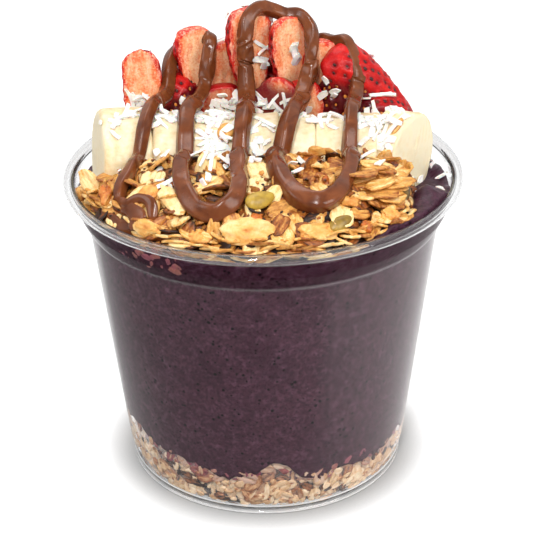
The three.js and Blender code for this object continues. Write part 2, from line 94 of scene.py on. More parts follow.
# Strawberry pieces: cut, (length, width) of the whole berry, middle, tip, cut face, and
# (juice on it, redness of its cut face, how much of a box it is), each 0 to 1.
BERRIES = [
    ("half", (30, 12.6), (-35, 21, 108), (0.05, 0, -1), (-0.1, -0.95, 0.2), (0.3, 0.7, 0.9)),
    ("slice", (20, 13), (-19.8, 26, 117.6), (0.1, 0, -1), (0.35, -0.93, 0.1), (0, 0.1, 0.3)),
    ("half", (21, 13), (-12, 28, 112), (0, 0, -1), (0.4, -0.9, 0.2), (0, 0.85, 0)),
    ("half", (26, 15), (-5, 26, 121), (0.06, 0, -1), (0.55, -0.8, 0.1), (0.2, 0.6, 0.3)),
    ("half", (22, 13), (6.9, 26, 119.4), (0.05, 0, -1), (0.55, -0.8, 0.2), (0.2, 0.35, 0.4)),
    ("slice", (21, 11), (18, 26, 112.6), (0, 0, -1), (0.2, -0.95, 0.2), (0.2, 0.6, 0.1)),
    ("half", (40, 17), (35.4, 20, 107.4), (0.66, -0.05, -0.75), (-0.4, 0.75, -0.45), (0.9, 0.4, 0.35)),
    ("half", (23, 17), (3.5, 19, 103), (-0.6, 0, -0.8), (-0.2, -0.85, 0.4), (1, 1, 0)),
    ("slice", (20, 14), (-11.5, 18.5, 102), (0.2, 0, -1), (0, -0.9, 0.4), (0.55, 0.8, 0)),
    ("slice", (21, 12), (13, 19, 102.5), (0.1, 0, -1), (0.2, -0.95, 0.2), (0.1, 0.6, 0)),
    ("half", (24, 17), (23, 19.5, 102.5), (-0.3, -0.1, -1), (0, 0.9, -0.3), (1, 0.5, 0)),
    ("half", (26, 20), (38, 17, 100.5), (0.8, -0.15, -0.55), (-0.1, 0.8, -0.5), (1, 0.5, 0)),
    ("half", (24, 17), (-25, 19.5, 102), (0.3, -0.2, -0.9), (0.1, 0.9, -0.3), (1, 0.5, 0)),
    ("half", (27, 22), (-33, 34, 98.5), (-0.6, 0.3, -0.8), (0.2, -0.9, 0.1), (0.3, 0.4, 0)),
    ("half", (27, 22), (-17, 39.5, 98.5), (0.2, 0.2, -1), (0.1, -0.9, 0.3), (0.1, 0.4, 0)),
    ("half", (27, 21), (0, 41, 98.5), (-0.3, 0.3, -1), (0, -0.9, 0.3), (0.4, 0.4, 0)),
    ("quarter", (28, 24), (15.5, 39, 98.5), (0.2, 0.2, -1), (-0.3, -0.9, 0.2), (0.1, 0.4, 0)),
    ("half", (27, 21), (31.5, 34.5, 97), (0.7, 0.3, -0.7), (-0.3, -0.8, 0.3), (0.5, 0.4, 0)),
    ("half", (22, 16), (-22, 34, 112), (-0.5, 0.4, -0.7), (0.2, -0.9, 0.2), (0, 0.4, 0)),
    ("half", (22, 16), (-6, 38.5, 113), (0.8, 0.3, -0.5), (0, -0.8, -0.3), (0.2, 0.4, 0)),
    ("slice", (22, 17), (9, 37.5, 113), (0.5, 0.4, -0.8), (0.1, 0.8, 0.6), (0, 0.3, 0)),
    ("half", (22, 16), (24, 34, 112), (0.8, 0.2, -0.6), (0, -0.8, 0.1), (0, 0.4, 0)),
]

# Drizzle: on the granola (x, y), over the bananas (x in front, x on top, how much it is
# lifted there), on the berries (x, y, z).
DRIZZLE_LIFT = 2.8  # its middle above what it lies on
ROW_Y, ROW_Z, ROW_RADIUS = 0.8, 95.7, 14
ROW_ANGLES = [62, 34, 6]
DRIZZLE = [
    ("granola", [(-39.6, -32.5), (-39.4, -28), (-37.5, -23), (-36.2, -19)]),
    ("up", (-35.2, -32, 1.5)),
    ("berries", [(-30.8, 9, 111.6), (-28.6, 15, 111.4), (-28, 20, 113.6), (-27.5, 24, 117.5)]),
    ("berries", [(-26, 29, 119.5), (-21.5, 32, 120.2), (-17.2, 29, 123.6), (-15.4, 24.5, 124.6)]),
    ("berries", [(-15.8, 21.5, 119.5), (-17, 19, 113), (-18.6, 12.5, 110.8)]),
    ("down", (-22.3, -21.8, 0)),
    ("granola", [(-22.4, -20), (-22.4, -29), (-21, -36.5), (-17.3, -42.8), (-12.6, -45.4)]),
    ("granola", [(-8.3, -43.2), (-6.5, -36.5), (-6.6, -28), (-6.7, -20)]),
    ("up", (-6.5, -5, 0)),
    ("berries", [(-4.6, 8.5, 110.6), (-4.6, 14.5, 112), (-4.8, 18.4, 118.4), (-4.9, 19.6, 127)]),
    ("berries", [(-4, 22, 132), (-0.6, 25, 134.2), (3.4, 27, 132.8), (7.2, 27.5, 131.2)]),
    ("berries", [(11.4, 27, 131.2), (14.4, 25, 128.6), (14.8, 21.8, 121.5), (13, 18, 114)]),
    ("berries", [(11, 11, 110.8)]),
    ("down", (4.8, 8.6, 0)),
    ("granola", [(3.4, -20), (3.8, -28), (6.2, -36), (10.5, -41.4), (15.5, -43)]),
    ("granola", [(19.6, -40), (22.4, -33), (24.2, -25), (24.5, -19)]),
    ("up", (24.3, 25.6, 0)),
    ("berries", [(26.8, 9, 110.8), (27.9, 14.5, 112), (27.6, 18.6, 117.2), (26.4, 22, 121)]),
    ("berries", [(24.6, 25.5, 123.4), (21.4, 27.5, 122.6), (17, 30.5, 123.4)]),
]


# ---- Numbers ----
def smoothstep(low, high, value):
    t = np.clip((value - low) / (high - low), 0, 1)
    return t * t * (3 - 2 * t)


def unit(v):
    v = np.asarray(v, float)
    return v / np.maximum(np.linalg.norm(v, axis=-1, keepdims=True), 1e-9)


def lattice(cell, seed):
    """A repeatable value from -1 to 1 for each whole-numbered cell."""
    h = cell[:, 0] * 374761393 + cell[:, 1] * 668265263 + cell[:, 2] * 1274126177 + seed * 974711
    h = (h ^ (h >> 13)) * 1103515245 & 0xFFFFFFFF
    h = (h ^ (h >> 16)) * 69069 & 0xFFFFFFFF
    return ((h >> 8) & 0xFFFF) / 32767.5 - 1.0


def noise(p, size, seed=0):
    """Smooth noise from -1 to 1 at points, with features of about `size`."""
    q = np.asarray(p, float) / size
    cell = np.floor(q).astype(np.int64)
    f = q - cell
    u = f * f * (3 - 2 * f)
    total = np.zeros(len(q))
    for corner in range(8):
        step = np.array([corner & 1, corner >> 1 & 1, corner >> 2 & 1])
        weight = np.prod(np.where(step, u, 1 - u), axis=1)
        total += weight * lattice(cell + step, seed)
    return total


def fractal(p, size, octaves=3, seed=0):
    return sum(noise(p, size / 2**k, seed + 17 * k) / 2**k for k in range(octaves))


# ---- Surfaces of the fillings ----
def wall_radius(z):
    radii, levels = zip(*CUP_INSIDE)
    return np.interp(z, levels, radii)


def base_top(x, y):
    azimuth = np.arctan2(y, x)
    relief = -2 * np.cos(azimuth + 0.35) - 1.6 * np.cos(6 * azimuth)
    return BASE_HEIGHT + relief * smoothstep(5, 40, np.hypot(x, y))


def low_edge(x, y):
    degrees, heights = zip(*LOW_EDGE)
    return np.interp(np.degrees(np.arctan2(y, x)), degrees, heights)


def acai_top(x, y):
    swell = 0.7 * np.sin(x / 9 + 1) * np.cos(y / 11)
    mound = 5 * np.exp(-(((x - 43) / 7) ** 2) - ((y + 19) / 6) ** 2)
    return ACAI_HEIGHT - 0.035 * y + swell + mound


def heap_top(x, y):
    from_wall = np.maximum(53 - np.hypot(x, y), 0)
    bumps = 0.8 * np.sin(x / 4) * np.cos(y / 4.5)
    fall = 12 * smoothstep(38, 47, x) + 18 * smoothstep(-16, -8, y)
    return HEAP_RIM + HEAP_RISE * (1 - np.exp(-from_wall / HEAP_SLOPE)) + bumps - fall


def heap_normal(x, y, step=2.0):
    dx = (heap_top(x + step, y) - heap_top(x - step, y)) / (2 * step)
    dy = (heap_top(x, y + step) - heap_top(x, y - step)) / (2 * step)
    return unit([-dx, -dy, 1])


# ---- Random draws ----
def around_mean(mean, spread):
    """A random share from 0 to 1 around a mean."""
    return np.clip(rng.normal(mean, spread), 0, 1)


def random_size(low, high, flat, thin):
    """A random size: its length, and its width and height as parts of that."""
    return rng.uniform(low, high) * np.array([1, rng.uniform(*flat), rng.uniform(*thin)])


# ---- Meshes ----
def grid(rows, columns, wrap=False):
    """The quads between neighbouring points of a grid, which may close on itself sideways."""
    i = np.arange(rows - 1)[:, None] * columns
    j = np.arange(columns if wrap else columns - 1)[None, :]
    k = (j + 1) % columns
    quads = np.stack([i + j, i + k, i + columns + k, i + columns + j], -1)
    return quads.reshape(-1, 4)


def ball(n):
    """A unit sphere of six n by n grids: points and quads, faces out."""
    t = np.tan(np.linspace(-1, 1, n + 1) * math.pi / 4)
    u, v = np.meshgrid(t, t, indexing="ij")
    one = np.ones_like(u)
    sides = [(one, u, v), (-one, v, u), (v, one, u), (u, -one, v), (u, v, one), (v, u, -one)]
    points = unit(np.concatenate([np.stack(s, -1).reshape(-1, 3) for s in sides]))
    square = grid(n + 1, n + 1)[:, ::-1]
    quads = np.concatenate([square + k * (n + 1) ** 2 for k in range(6)])
    _, first, inverse = np.unique(np.round(points, 6), axis=0, return_index=True, return_inverse=True)
    return points[first], inverse.reshape(-1)[quads]


def link(name, data):
    made = bpy.data.objects.new(name, data)
    bpy.context.scene.collection.objects.link(made)
    return made


class Batch:
    """Shapes joined into one mesh, each with values that its material reads."""

    def __init__(self):
        self.points, self.faces, self.slots, self.values, self.total = [], [], [], {}, 0

    def add(self, points, faces, slot=0, **values):
        self.points.append(np.asarray(points, float))
        for group in faces if isinstance(faces, list) else [faces]:
            self.faces.append(group + self.total)
            self.slots.append(np.full(len(group), slot))
        for name, value in values.items():
            self.values.setdefault(name, []).append(np.broadcast_to(value, len(points)))
        self.total += len(points)


def piece(name, batch, materials, nodes=(), smooth=True):
    """One object of the part from a batch. It rides on the part and may replace nodes."""
    mesh = bpy.data.meshes.new(name)
    points = np.concatenate(batch.points) * MM
    sizes = np.concatenate([np.full(len(f), f.shape[1]) for f in batch.faces])
    corners = np.concatenate([f.ravel() for f in batch.faces])
    mesh.vertices.add(len(points))
    mesh.vertices.foreach_set("co", points.astype(np.float32).ravel())
    mesh.loops.add(len(corners))
    mesh.loops.foreach_set("vertex_index", corners.astype(np.int32))
    mesh.polygons.add(len(sizes))
    mesh.polygons.foreach_set("loop_start", np.concatenate([[0], np.cumsum(sizes)[:-1]]).astype(np.int32))
    mesh.polygons.foreach_set("material_index", np.concatenate(batch.slots).astype(np.int32))
    mesh.polygons.foreach_set("use_smooth", np.full(len(sizes), smooth))
    for key, parts in batch.values.items():
        layer = mesh.attributes.new(key, "FLOAT", "POINT")
        layer.data.foreach_set("value", np.concatenate(parts).astype(np.float32))
    mesh.update(calc_edges=True)
    mesh.validate()
    for material in materials:
        mesh.materials.append(material)
    made = link(name, mesh)
    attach(made, "root")
    if nodes:
        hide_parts(*nodes)


def circle(sides):
    """Angles round a circle and its points, at a radius of 1."""
    angles = np.linspace(0, 2 * math.pi, sides, endpoint=False)
    return angles, np.stack([np.cos(angles), np.sin(angles)], -1)


def tube(rows, sides):
    """The faces of rows of points round a tube: its wall and its two ends."""
    ring = np.arange(sides)[None, :]
    return [grid(rows, sides, wrap=True), ring[:, ::-1], ring + (rows - 1) * sides]


def frames(tip, face):
    """Columns x, y, z of a piece whose -Z points to `tip` and -X to `face`."""
    z = -unit(tip)
    x = -np.asarray(face, float)
    x = unit(x - x.dot(z) * z)
    return np.column_stack([x, np.cross(z, x), z])


def on_normal(normal, turn):
    """Columns of a frame whose Z is `normal`, turned about it."""
    z = unit(normal)
    side = np.array([1.0, 0, 0]) if abs(z[0]) < 0.8 else np.array([0, 1.0, 0])
    x = unit(side - side.dot(z) * z)
    y = np.cross(z, x)
    c, s = math.cos(turn), math.sin(turn)
    return np.column_stack([c * x + s * y, c * y - s * x, z])


# ---- Materials ----
class Nodes:
    """Short ways to write the nodes of a material or a world."""

    def __init__(self, owner, place):
        owner.use_nodes = True
        self.tree = owner.node_tree
        self.place = self.node("TexCoord").outputs[place]

    def node(self, kind, inputs=None, **properties):
        made = self.tree.nodes.new("ShaderNode" + kind)
        for key, value in properties.items():
            setattr(made, key, value)
        for key, value in (inputs or {}).items():
            self.feed(made.inputs[key], value)
        return made

    def feed(self, socket, value):
        if isinstance(value, bpy.types.NodeSocket):
            self.tree.links.new(value, socket)
        elif isinstance(value, tuple) and len(value) == 3 and socket.type == "RGBA":
            socket.default_value = (*value, 1)
        else:
            socket.default_value = value

    def value(self, name):
        return self.node("Attribute", attribute_name=name).outputs["Fac"]

    def times(self, name, factor):
        return self.math("MULTIPLY", self.value(name), factor)

    def scaled(self, x, y, z, vector=None):
        return self.node("Mapping", {"Vector": vector or self.place, "Scale": (x, y, z)}).outputs[0]

    def noise(self, size, detail=3.0, rough=0.55, vector=None, distortion=0.0):
        """Noise with features of about `size` millimetres."""
        inputs = {"Scale": 1 / (size * MM), "Detail": detail, "Roughness": rough, "Distortion": distortion}
        inputs["Vector"] = vector or self.place
        return self.node("TexNoise", inputs).outputs["Fac"]

    def spots(self, size, randomness=1.0):
        inputs = {"Vector": self.place, "Scale": 1 / (size * MM), "Randomness": randomness}
        return self.node("TexVoronoi", inputs).outputs["Distance"]

    def math(self, operation, a, b=0.0, clamp=False):
        return self.node("Math", {0: a, 1: b}, operation=operation, use_clamp=clamp).outputs[0]

    def span(self, value, low, high, to_low=0.0, to_high=1.0):
        inputs = {"Value": value, "From Min": low, "From Max": high, "To Min": to_low, "To Max": to_high}
        return self.node("MapRange", inputs).outputs[0]

    def mix(self, factor, a, b):
        made = self.node("Mix", data_type="RGBA")
        for socket, value in zip((made.inputs[0], made.inputs[6], made.inputs[7]), (factor, a, b)):
            self.feed(socket, value)
        return made.outputs[2]

    def ramp(self, factor, *stops):
        made = self.node("ValToRGB", {"Fac": factor})
        elements = made.color_ramp.elements
        while len(elements) < len(stops):
            elements.new(0.5)
        for element, (at, colour) in zip(elements, stops):
            element.position = at
            element.color = (*colour, 1)
        return made.outputs["Color"]

    def bump(self, height, distance, strength=1.0, normal=None):
        inputs = {"Height": height, "Distance": distance * MM, "Strength": strength}
        if normal:
            inputs["Normal"] = normal
        return self.node("Bump", inputs).outputs["Normal"]


class Shader(Nodes):
    """A node material with one Principled shader."""

    def __init__(self, name, **settings):
        self.material = bpy.data.materials.new(name)
        super().__init__(self.material, "Object")
        self.bsdf = self.tree.nodes["Principled BSDF"]
        self.output = self.tree.nodes["Material Output"]
        self.set(**settings)

    def set(self, **settings):
        for key, value in settings.items():
            self.feed(self.bsdf.inputs[key.replace("_", " ")], value)


def srgb(r, g, b):
    """A linear colour from screen values of 0 to 255."""
    return tuple((c / 255 / 12.92) if c <= 10 else ((c / 255 + 0.055) / 1.055) ** 2.4 for c in (r, g, b))


def grey(level):
    return (level, level, level)


def clear_plastic():
    """Thin clear plastic: `milky` along its thick edges, where the white frost is partly a
    painted highlight standing in for the bright lines light makes there; dull where `sheen`
    is 0, on the flared band, and greyer where `rim` is 1, at the lip. Light from lamps goes
    straight through, as a thin wall hardly bends it."""
    s = Shader("clear_plastic")
    s.set(Base_Color=s.mix(s.value("rim"), (0.985, 0.99, 0.99), grey(0.84)))
    # Frosted edges, partly painted highlight lines: rougher and less clear there.
    s.set(Roughness=s.span(s.value("milky"), 0, 1, 0.0, 0.4))
    s.set(Transmission_Weight=s.span(s.value("milky"), 0, 1, 1.0, 0.3))
    s.set(IOR=s.span(s.value("sheen"), 0, 1, 1.17, 1.49))
    s.set(Normal=s.bump(s.noise(16, 1), 0.012, 0.2))
    path = s.node("LightPath").outputs
    straight = s.math("MAXIMUM", path["Is Shadow Ray"], path["Is Diffuse Ray"])
    through = s.node("BsdfTransparent", {"Color": (0.95, 0.95, 0.955)})
    mixed = s.node("MixShader", {0: straight, 1: s.bsdf.outputs[0], 2: through.outputs[0]})
    s.tree.links.new(mixed.outputs[0], s.output.inputs["Surface"])
    return s.material


def acai_puree():
    """Thick dark purple puree with fine berry specks. `wet` is 1 on its free surface and
    `upper` grows above the step in the wall, where its colour is darkened as painted shade
    under the lip."""
    s = Shader("acai_puree", IOR=1.4, Subsurface_Weight=0.05, Subsurface_Scale=0.0015)
    body = s.mix(s.span(s.noise(13, 4), 0.35, 0.7), srgb(60, 28, 43), srgb(76, 42, 56))
    cloudy = s.mix(s.span(s.noise(2.6, 4, 0.65), 0.46, 0.72, 0, 0.7), body, srgb(104, 66, 86))
    grain = s.mix(s.span(s.noise(1.1, 4, 0.7), 0.38, 0.66, 0, 0.85), cloudy, srgb(36, 12, 25))
    specks = s.math("LESS_THAN", s.spots(2.0), s.span(s.noise(3.5, 1), 0.4, 0.7, 0.08, 0.28))
    dark = s.mix(specks, grain, srgb(8, 2, 6))
    pale = s.math("LESS_THAN", s.spots(2.3), s.span(s.noise(6, 2), 0.5, 0.8, 0, 0.12))
    flecked = s.mix(s.math("MULTIPLY", pale, 0.8), dark, srgb(150, 106, 124))
    # Painted shade under the lip: the colour darkens above the step in the wall.
    s.set(Base_Color=s.mix(s.value("upper"), flecked, srgb(22, 6, 14)))
    dry = s.span(s.value("wet"), 0, 1, 0.6, 0.0)
    s.set(Roughness=s.math("ADD", dry, s.span(s.noise(2.0, 3), 0.3, 0.75, 0.25, 0.55), clamp=True))
    s.set(Specular_IOR_Level=s.span(s.value("wet"), 0, 1, 0.03, 0.35))
    s.set(Normal=s.bump(s.noise(1.1, 4), 0.3, s.span(s.value("wet"), 0, 1, 0.12, 0.6)))
    return s.material


def baked(name, pale, tan, brown, dark, shine=0.5, stain=None):
    """Baked grain or nut. `tint` runs from pale to well done, `edge` is its rim, `along`
    and `across` are its own directions, `stained` is how much puree has soaked into it."""
    s = Shader(name, Specular_IOR_Level=0.45, Subsurface_Weight=0.06, Subsurface_Scale=0.0006)
    own = s.node("CombineXYZ", {"X": s.times("along", 0.22 * MM), "Y": s.times("across", MM)})
    streak = s.noise(0.55, 3, 0.6, vector=own.outputs[0])
    grain = s.noise(0.6, 4, 0.65)
    done = s.math("ADD", s.value("tint"), s.span(s.noise(2.8, 3), 0.3, 0.72, -0.12, 0.16))
    done = s.math("ADD", done, s.span(streak, 0.32, 0.7, -0.14, 0.18))
    done = s.math("ADD", done, s.span(grain, 0.3, 0.75, -0.07, 0.09))
    done = s.math("ADD", done, s.times("edge", 0.2))
    colour = s.ramp(done, (0.0, pale), (0.34, tan), (0.7, brown), (1.0, dark))
    if stain:
        colour = s.mix(s.value("stained"), colour, stain)
    s.set(Base_Color=colour, Roughness=s.span(grain, 0.3, 0.8, 0.58 - 0.3 * shine, 0.85 - 0.2 * shine))
    fine = s.bump(s.noise(0.35, 3), 0.04, 0.5)
    s.set(Normal=s.bump(streak, 0.16, 0.8, s.bump(grain, 0.06, 0.5, fine)))
    return s.material


def banana_flesh():
    """Cut banana: `face` is 1 on a cut face, `radial` runs from its middle to its rim,
    `knife` is the knife's faint steps across it."""
    s = Shader("banana_flesh", IOR=1.4, Subsurface_Weight=0.2, Subsurface_Scale=0.002)
    s.set(Subsurface_Radius=(1.0, 0.8, 0.45), Specular_IOR_Level=0.35)
    fibre = s.noise(1.3, 4, 0.6, vector=s.scaled(0.7, 1, 1))
    streak = s.noise(4.0, 3, vector=s.scaled(1, 0.6, 0.3))
    side = s.ramp(s.math("ADD", s.math("MULTIPLY", fibre, 0.4), s.math("MULTIPLY", streak, 0.6)),
                  (0.32, srgb(220, 190, 138)), (0.5, srgb(234, 216, 178)), (0.64, srgb(243, 231, 203)))
    middle = s.span(s.value("radial"), 0.12, 0.42, 1.0, 0.0)
    pith = s.math("MULTIPLY", middle, s.span(s.noise(2.2, 3), 0.35, 0.65))
    face = s.mix(s.math("MULTIPLY", pith, 0.3), srgb(234, 221, 190), srgb(220, 194, 146))
    ray = s.noise(1.8, 3, vector=s.scaled(1, 1, 0.3), distortion=0.5)
    face = s.mix(s.span(ray, 0.45, 0.72, 0, 0.4), face, srgb(243, 226, 184))
    face = s.mix(s.times("knife", 0.5), face, srgb(232, 208, 160))
    colour = s.mix(s.value("face"), side, face)
    bruise = s.span(s.noise(5.5, 3), 0.6, 0.76, 0, 0.3)
    s.set(Base_Color=s.mix(bruise, colour, srgb(222, 192, 138)))
    s.set(Roughness=s.span(s.noise(1.5, 2), 0.3, 0.7, 0.4, 0.65))
    s.set(Normal=s.bump(fibre, 0.14, 0.5, s.bump(s.noise(0.5, 3), 0.06, 0.5)))
    return s.material


def strawberry_flesh():
    """Strawberry: `skin` is 1 on the skin, `depth` runs from skin to middle on a cut, `pit` is
    1 round a seed, where the skin is darkened as painted shade in the hollow, `juice` is
    dark syrup on it, `redness` is one value for a piece."""
    s = Shader("strawberry_flesh", IOR=1.42, Subsurface_Weight=0.12, Subsurface_Scale=0.0015)
    s.set(Subsurface_Radius=(1.0, 0.35, 0.25))
    blotch = s.noise(3.2, 4)
    skin = s.mix(s.span(blotch, 0.3, 0.7), srgb(168, 10, 18), srgb(214, 36, 30))
    # Painted shade: the skin darkens round each seed, in the hollow it sits in.
    skin = s.mix(s.times("pit", 0.9), skin, srgb(92, 3, 10))
    skin = s.mix(s.times("juice", 0.9), skin, srgb(66, 6, 18))
    vein = s.noise(1.5, 4, 0.6, vector=s.scaled(1, 1, 0.32), distortion=0.5)
    grain = s.noise(0.6, 4, 0.65)
    reach = s.math("ADD", s.value("depth"), s.span(s.noise(3.0, 4), 0.3, 0.7, -0.28, 0.34))
    reach = s.math("SUBTRACT", reach, s.times("redness", 0.4))
    flesh = s.ramp(reach, (0.0, srgb(204, 32, 24)), (0.08, srgb(226, 68, 38)), (0.24, srgb(240, 118, 70)),
                   (0.6, srgb(244, 146, 94)), (1.0, srgb(249, 188, 138)))
    flesh = s.mix(s.span(vein, 0.48, 0.68, 0, 0.7), flesh, srgb(252, 208, 172))
    flesh = s.mix(s.span(vein, 0.42, 0.3, 0, 0.6), flesh, srgb(226, 84, 56))
    # Pale flecks: partly the flesh's own grain, partly painted glints on the wet cut face.
    flesh = s.mix(s.span(grain, 0.52, 0.66, 0, 0.6), flesh, srgb(255, 216, 184))
    flesh = s.mix(s.span(grain, 0.46, 0.32, 0, 0.6), flesh, srgb(214, 66, 48))
    flesh = s.mix(s.times("juice", 0.93), flesh, srgb(104, 8, 22))
    s.set(Base_Color=s.mix(s.value("skin"), flesh, skin))
    s.set(Roughness=s.span(s.value("skin"), 0, 1, 0.42, 0.27), Specular_IOR_Level=0.3)
    s.set(Coat_Weight=s.span(s.value("juice"), 0, 1, 0.03, 0.35), Coat_Roughness=0.1)
    s.set(Normal=s.bump(vein, 0.3, 0.7, s.bump(grain, 0.16, 0.7)))
    return s.material


def strawberry_seed():
    """Seeds are dark where the skin is dry and golden in the syrup."""
    s = Shader("strawberry_seed", Specular_IOR_Level=0.5, Roughness=0.4)
    tone = s.math("ADD", s.value("juice"), s.span(s.noise(1.2, 2), 0.3, 0.7, -0.3, 0.3))
    colour = s.ramp(tone, (0.0, srgb(44, 8, 12)), (0.45, srgb(112, 40, 22)), (1.0, srgb(226, 140, 52)))
    s.set(Base_Color=colour)
    s.set(Normal=s.bump(s.noise(0.25, 2), 0.05, 0.5))
    return s.material


def hazelnut_spread():
    """Smooth chocolate spread with faint flow lines, softly glossy."""
    s = Shader("hazelnut_spread", IOR=1.46, Subsurface_Weight=0.05, Subsurface_Scale=0.0008)
    flow = s.noise(5.0, 3, distortion=0.6)
    colour = s.ramp(flow, (0.3, srgb(86, 42, 20)), (0.52, srgb(108, 56, 28)), (0.75, srgb(126, 70, 37)))
    s.set(Base_Color=colour)
    s.set(Roughness=s.span(s.noise(6, 3), 0.35, 0.7, 0.13, 0.3), Specular_IOR_Level=0.42)
    s.set(Normal=s.bump(s.noise(2.6, 2), 0.14, 0.3, s.bump(s.noise(0.8, 2), 0.02, 0.3)))
    return s.material


def coconut_flesh():
    s = Shader("coconut_flesh", IOR=1.4, Subsurface_Weight=0.25, Subsurface_Scale=0.0006)
    s.set(Base_Color=s.ramp(s.noise(2.0, 3), (0.3, srgb(226, 221, 212)), (0.6, srgb(245, 242, 237))))
    s.set(Roughness=0.55, Normal=s.bump(s.noise(0.5, 3, vector=s.scaled(1, 0.5, 0.5)), 0.08, 0.6))
    return s.material


def seed_skin():
    """Green pumpkin seed, darker and browner as `tint` grows."""
    s = Shader("pumpkin_seed", Roughness=0.35, Specular_IOR_Level=0.5)
    tone = s.math("ADD", s.value("tint"), s.span(s.noise(2.2, 3), 0.3, 0.7, -0.25, 0.25))
    colour = s.ramp(tone, (0.0, srgb(184, 150, 56)), (0.45, srgb(134, 104, 34)), (1.0, srgb(66, 46, 18)))
    s.set(Base_Color=colour)
    s.set(Normal=s.bump(s.noise(0.7, 3), 0.1, 0.5))
    return s.material


PLASTIC, ACAI, BANANA = clear_plastic(), acai_puree(), banana_flesh()
BERRY, BERRY_SEED = strawberry_flesh(), strawberry_seed()
SPREAD, COCONUT, PUMPKIN = hazelnut_spread(), coconut_flesh(), seed_skin()
OAT = baked("rolled_oat", srgb(250, 226, 168), srgb(222, 164, 82), srgb(152, 82, 26), srgb(38, 16, 7), 0.8)
NUT = baked("roasted_nut", srgb(244, 218, 164), srgb(230, 172, 90), srgb(190, 100, 30), srgb(84, 36, 12), 0.9)
LOW_OAT = baked(
    "crushed_granola", srgb(238, 214, 184), srgb(214, 176, 134), srgb(156, 98, 62), srgb(40, 22, 18),
    shine=0.3, stain=srgb(128, 52, 76),
)


# ---- Cup ----
def rolled_lip():
    """The curled lip as (radius, height) points along the middle of its sheet."""
    middle, reach = (56.85, 92.35), (1.42, 1.5)
    angles = np.radians(np.linspace(180, -125, 22))
    return [(middle[0] + reach[0] * math.cos(a), middle[1] + reach[1] * math.sin(a)) for a in angles]


def thickened(path, half):
    """A closed outline round an open path of (radius, height) points."""
    path = np.asarray(path, float)
    along = unit(np.gradient(path, axis=0))
    out = np.column_stack([along[:, 1], -along[:, 0]])
    half = np.broadcast_to(half, len(path))[:, None]
    end = path[-1] + along[-1] * half[-1]
    return np.concatenate([path + out * half, [end], (path - out * half)[::-1]])


def rounded(points, radius, steps=4):
    """A path whose corners are cut by short curves."""
    points = [np.asarray(p, float) for p in points]
    path = [points[0]]
    for before, corner, after in zip(points, points[1:], points[2:]):
        first = corner + unit(before - corner) * min(radius, 0.45 * np.linalg.norm(before - corner))
        last = corner + unit(after - corner) * min(radius, 0.45 * np.linalg.norm(after - corner))
        for t in np.linspace(0, 1, steps + 1):
            path.append((1 - t) ** 2 * first + 2 * t * (1 - t) * corner + t * t * last)
    return np.array(path + [points[-1]])


def make_cup():
    """Turned in one outline: outside, the curled lip and back down the inside."""
    outside = [
        (0.02, 0.9), (37.4, 0.9), (38.4, 0.05), (41.1, 0.05), (41.9, 0.35), (41.95, 0.85), (41.45, 1.3),
        (41.5, 2.2), (42.0, 2.6), (42.0, 3.0), (41.65, 3.5), (41.9, 4.4), (42.9, 7), (51.8, 80.3),
        (52.7, 81.3), (53.2, 82.4), (54.5, 85.2), (55.4, 89.8), (55.55, 90.6),
    ]
    inside = [
        (0.02, 1.7), (38.5, 1.7), (40.4, 2.2), (41.4, 5), (51.1, 80.6), (52.1, 81.8), (53.8, 85.6),
        (54.95, 90.4),
    ]
    roll = thickened(rolled_lip(), np.concatenate([np.linspace(0.3, 0.16, 6), np.full(16, 0.15)]))
    outline = np.concatenate([rounded(outside, 0.35), roll, rounded(inside, 0.9)[::-1]])
    outline[:, 0] = np.clip(outline[:, 0], 0.02, 58.48)
    outline[:, 1] = np.maximum(outline[:, 1], 0)
    r, z = outline[:, 0], outline[:, 1]
    # The frost along the foot's edges, at the ledge and at the lip is partly a ground edge and partly painted
    # highlight, standing in for the bright lines that light makes in the thick plastic.
    base_edge = np.exp(-((z - 0.3) / 0.6) ** 4) * (r > 38)
    step_edge = np.exp(-((z - 2.9) / 0.4) ** 2) * (r > 41.75)
    ledge = 0.12 * np.exp(-((z - 81.1) / 0.4) ** 2) * (r > 52)
    milky = np.clip(0.85 * base_edge + 0.8 * step_edge + ledge + 0.03 * smoothstep(90.2, 91, z), 0, 1)
    sheen = 1 - smoothstep(81.3, 82.3, z) * (1 - 0.45 * smoothstep(90, 91, z))
    sides = 192
    _, ring = circle(sides)
    rows = [np.column_stack([radius * ring, np.full(sides, level)]) for radius, level in outline]
    values = {"milky": milky, "sheen": sheen, "rim": smoothstep(90.6, 91.4, z)}
    batch = Batch()
    values = {name: np.repeat(value, sides) for name, value in values.items()}
    batch.add(np.concatenate(rows), tube(len(rows), sides), **values)
    piece("clear_cup", batch, [PLASTIC], ["cup"])


# ---- Acai ----
# The rings of its free surface, as parts of the radius: close together at the wall.
SURFACE_RINGS = [
    0.995, 0.985, 0.97, 0.955, 0.94, 0.92, 0.9, 0.87, 0.84, 0.8, 0.76, 0.7, 0.6, 0.45, 0.3, 0.15, 0.02,
]


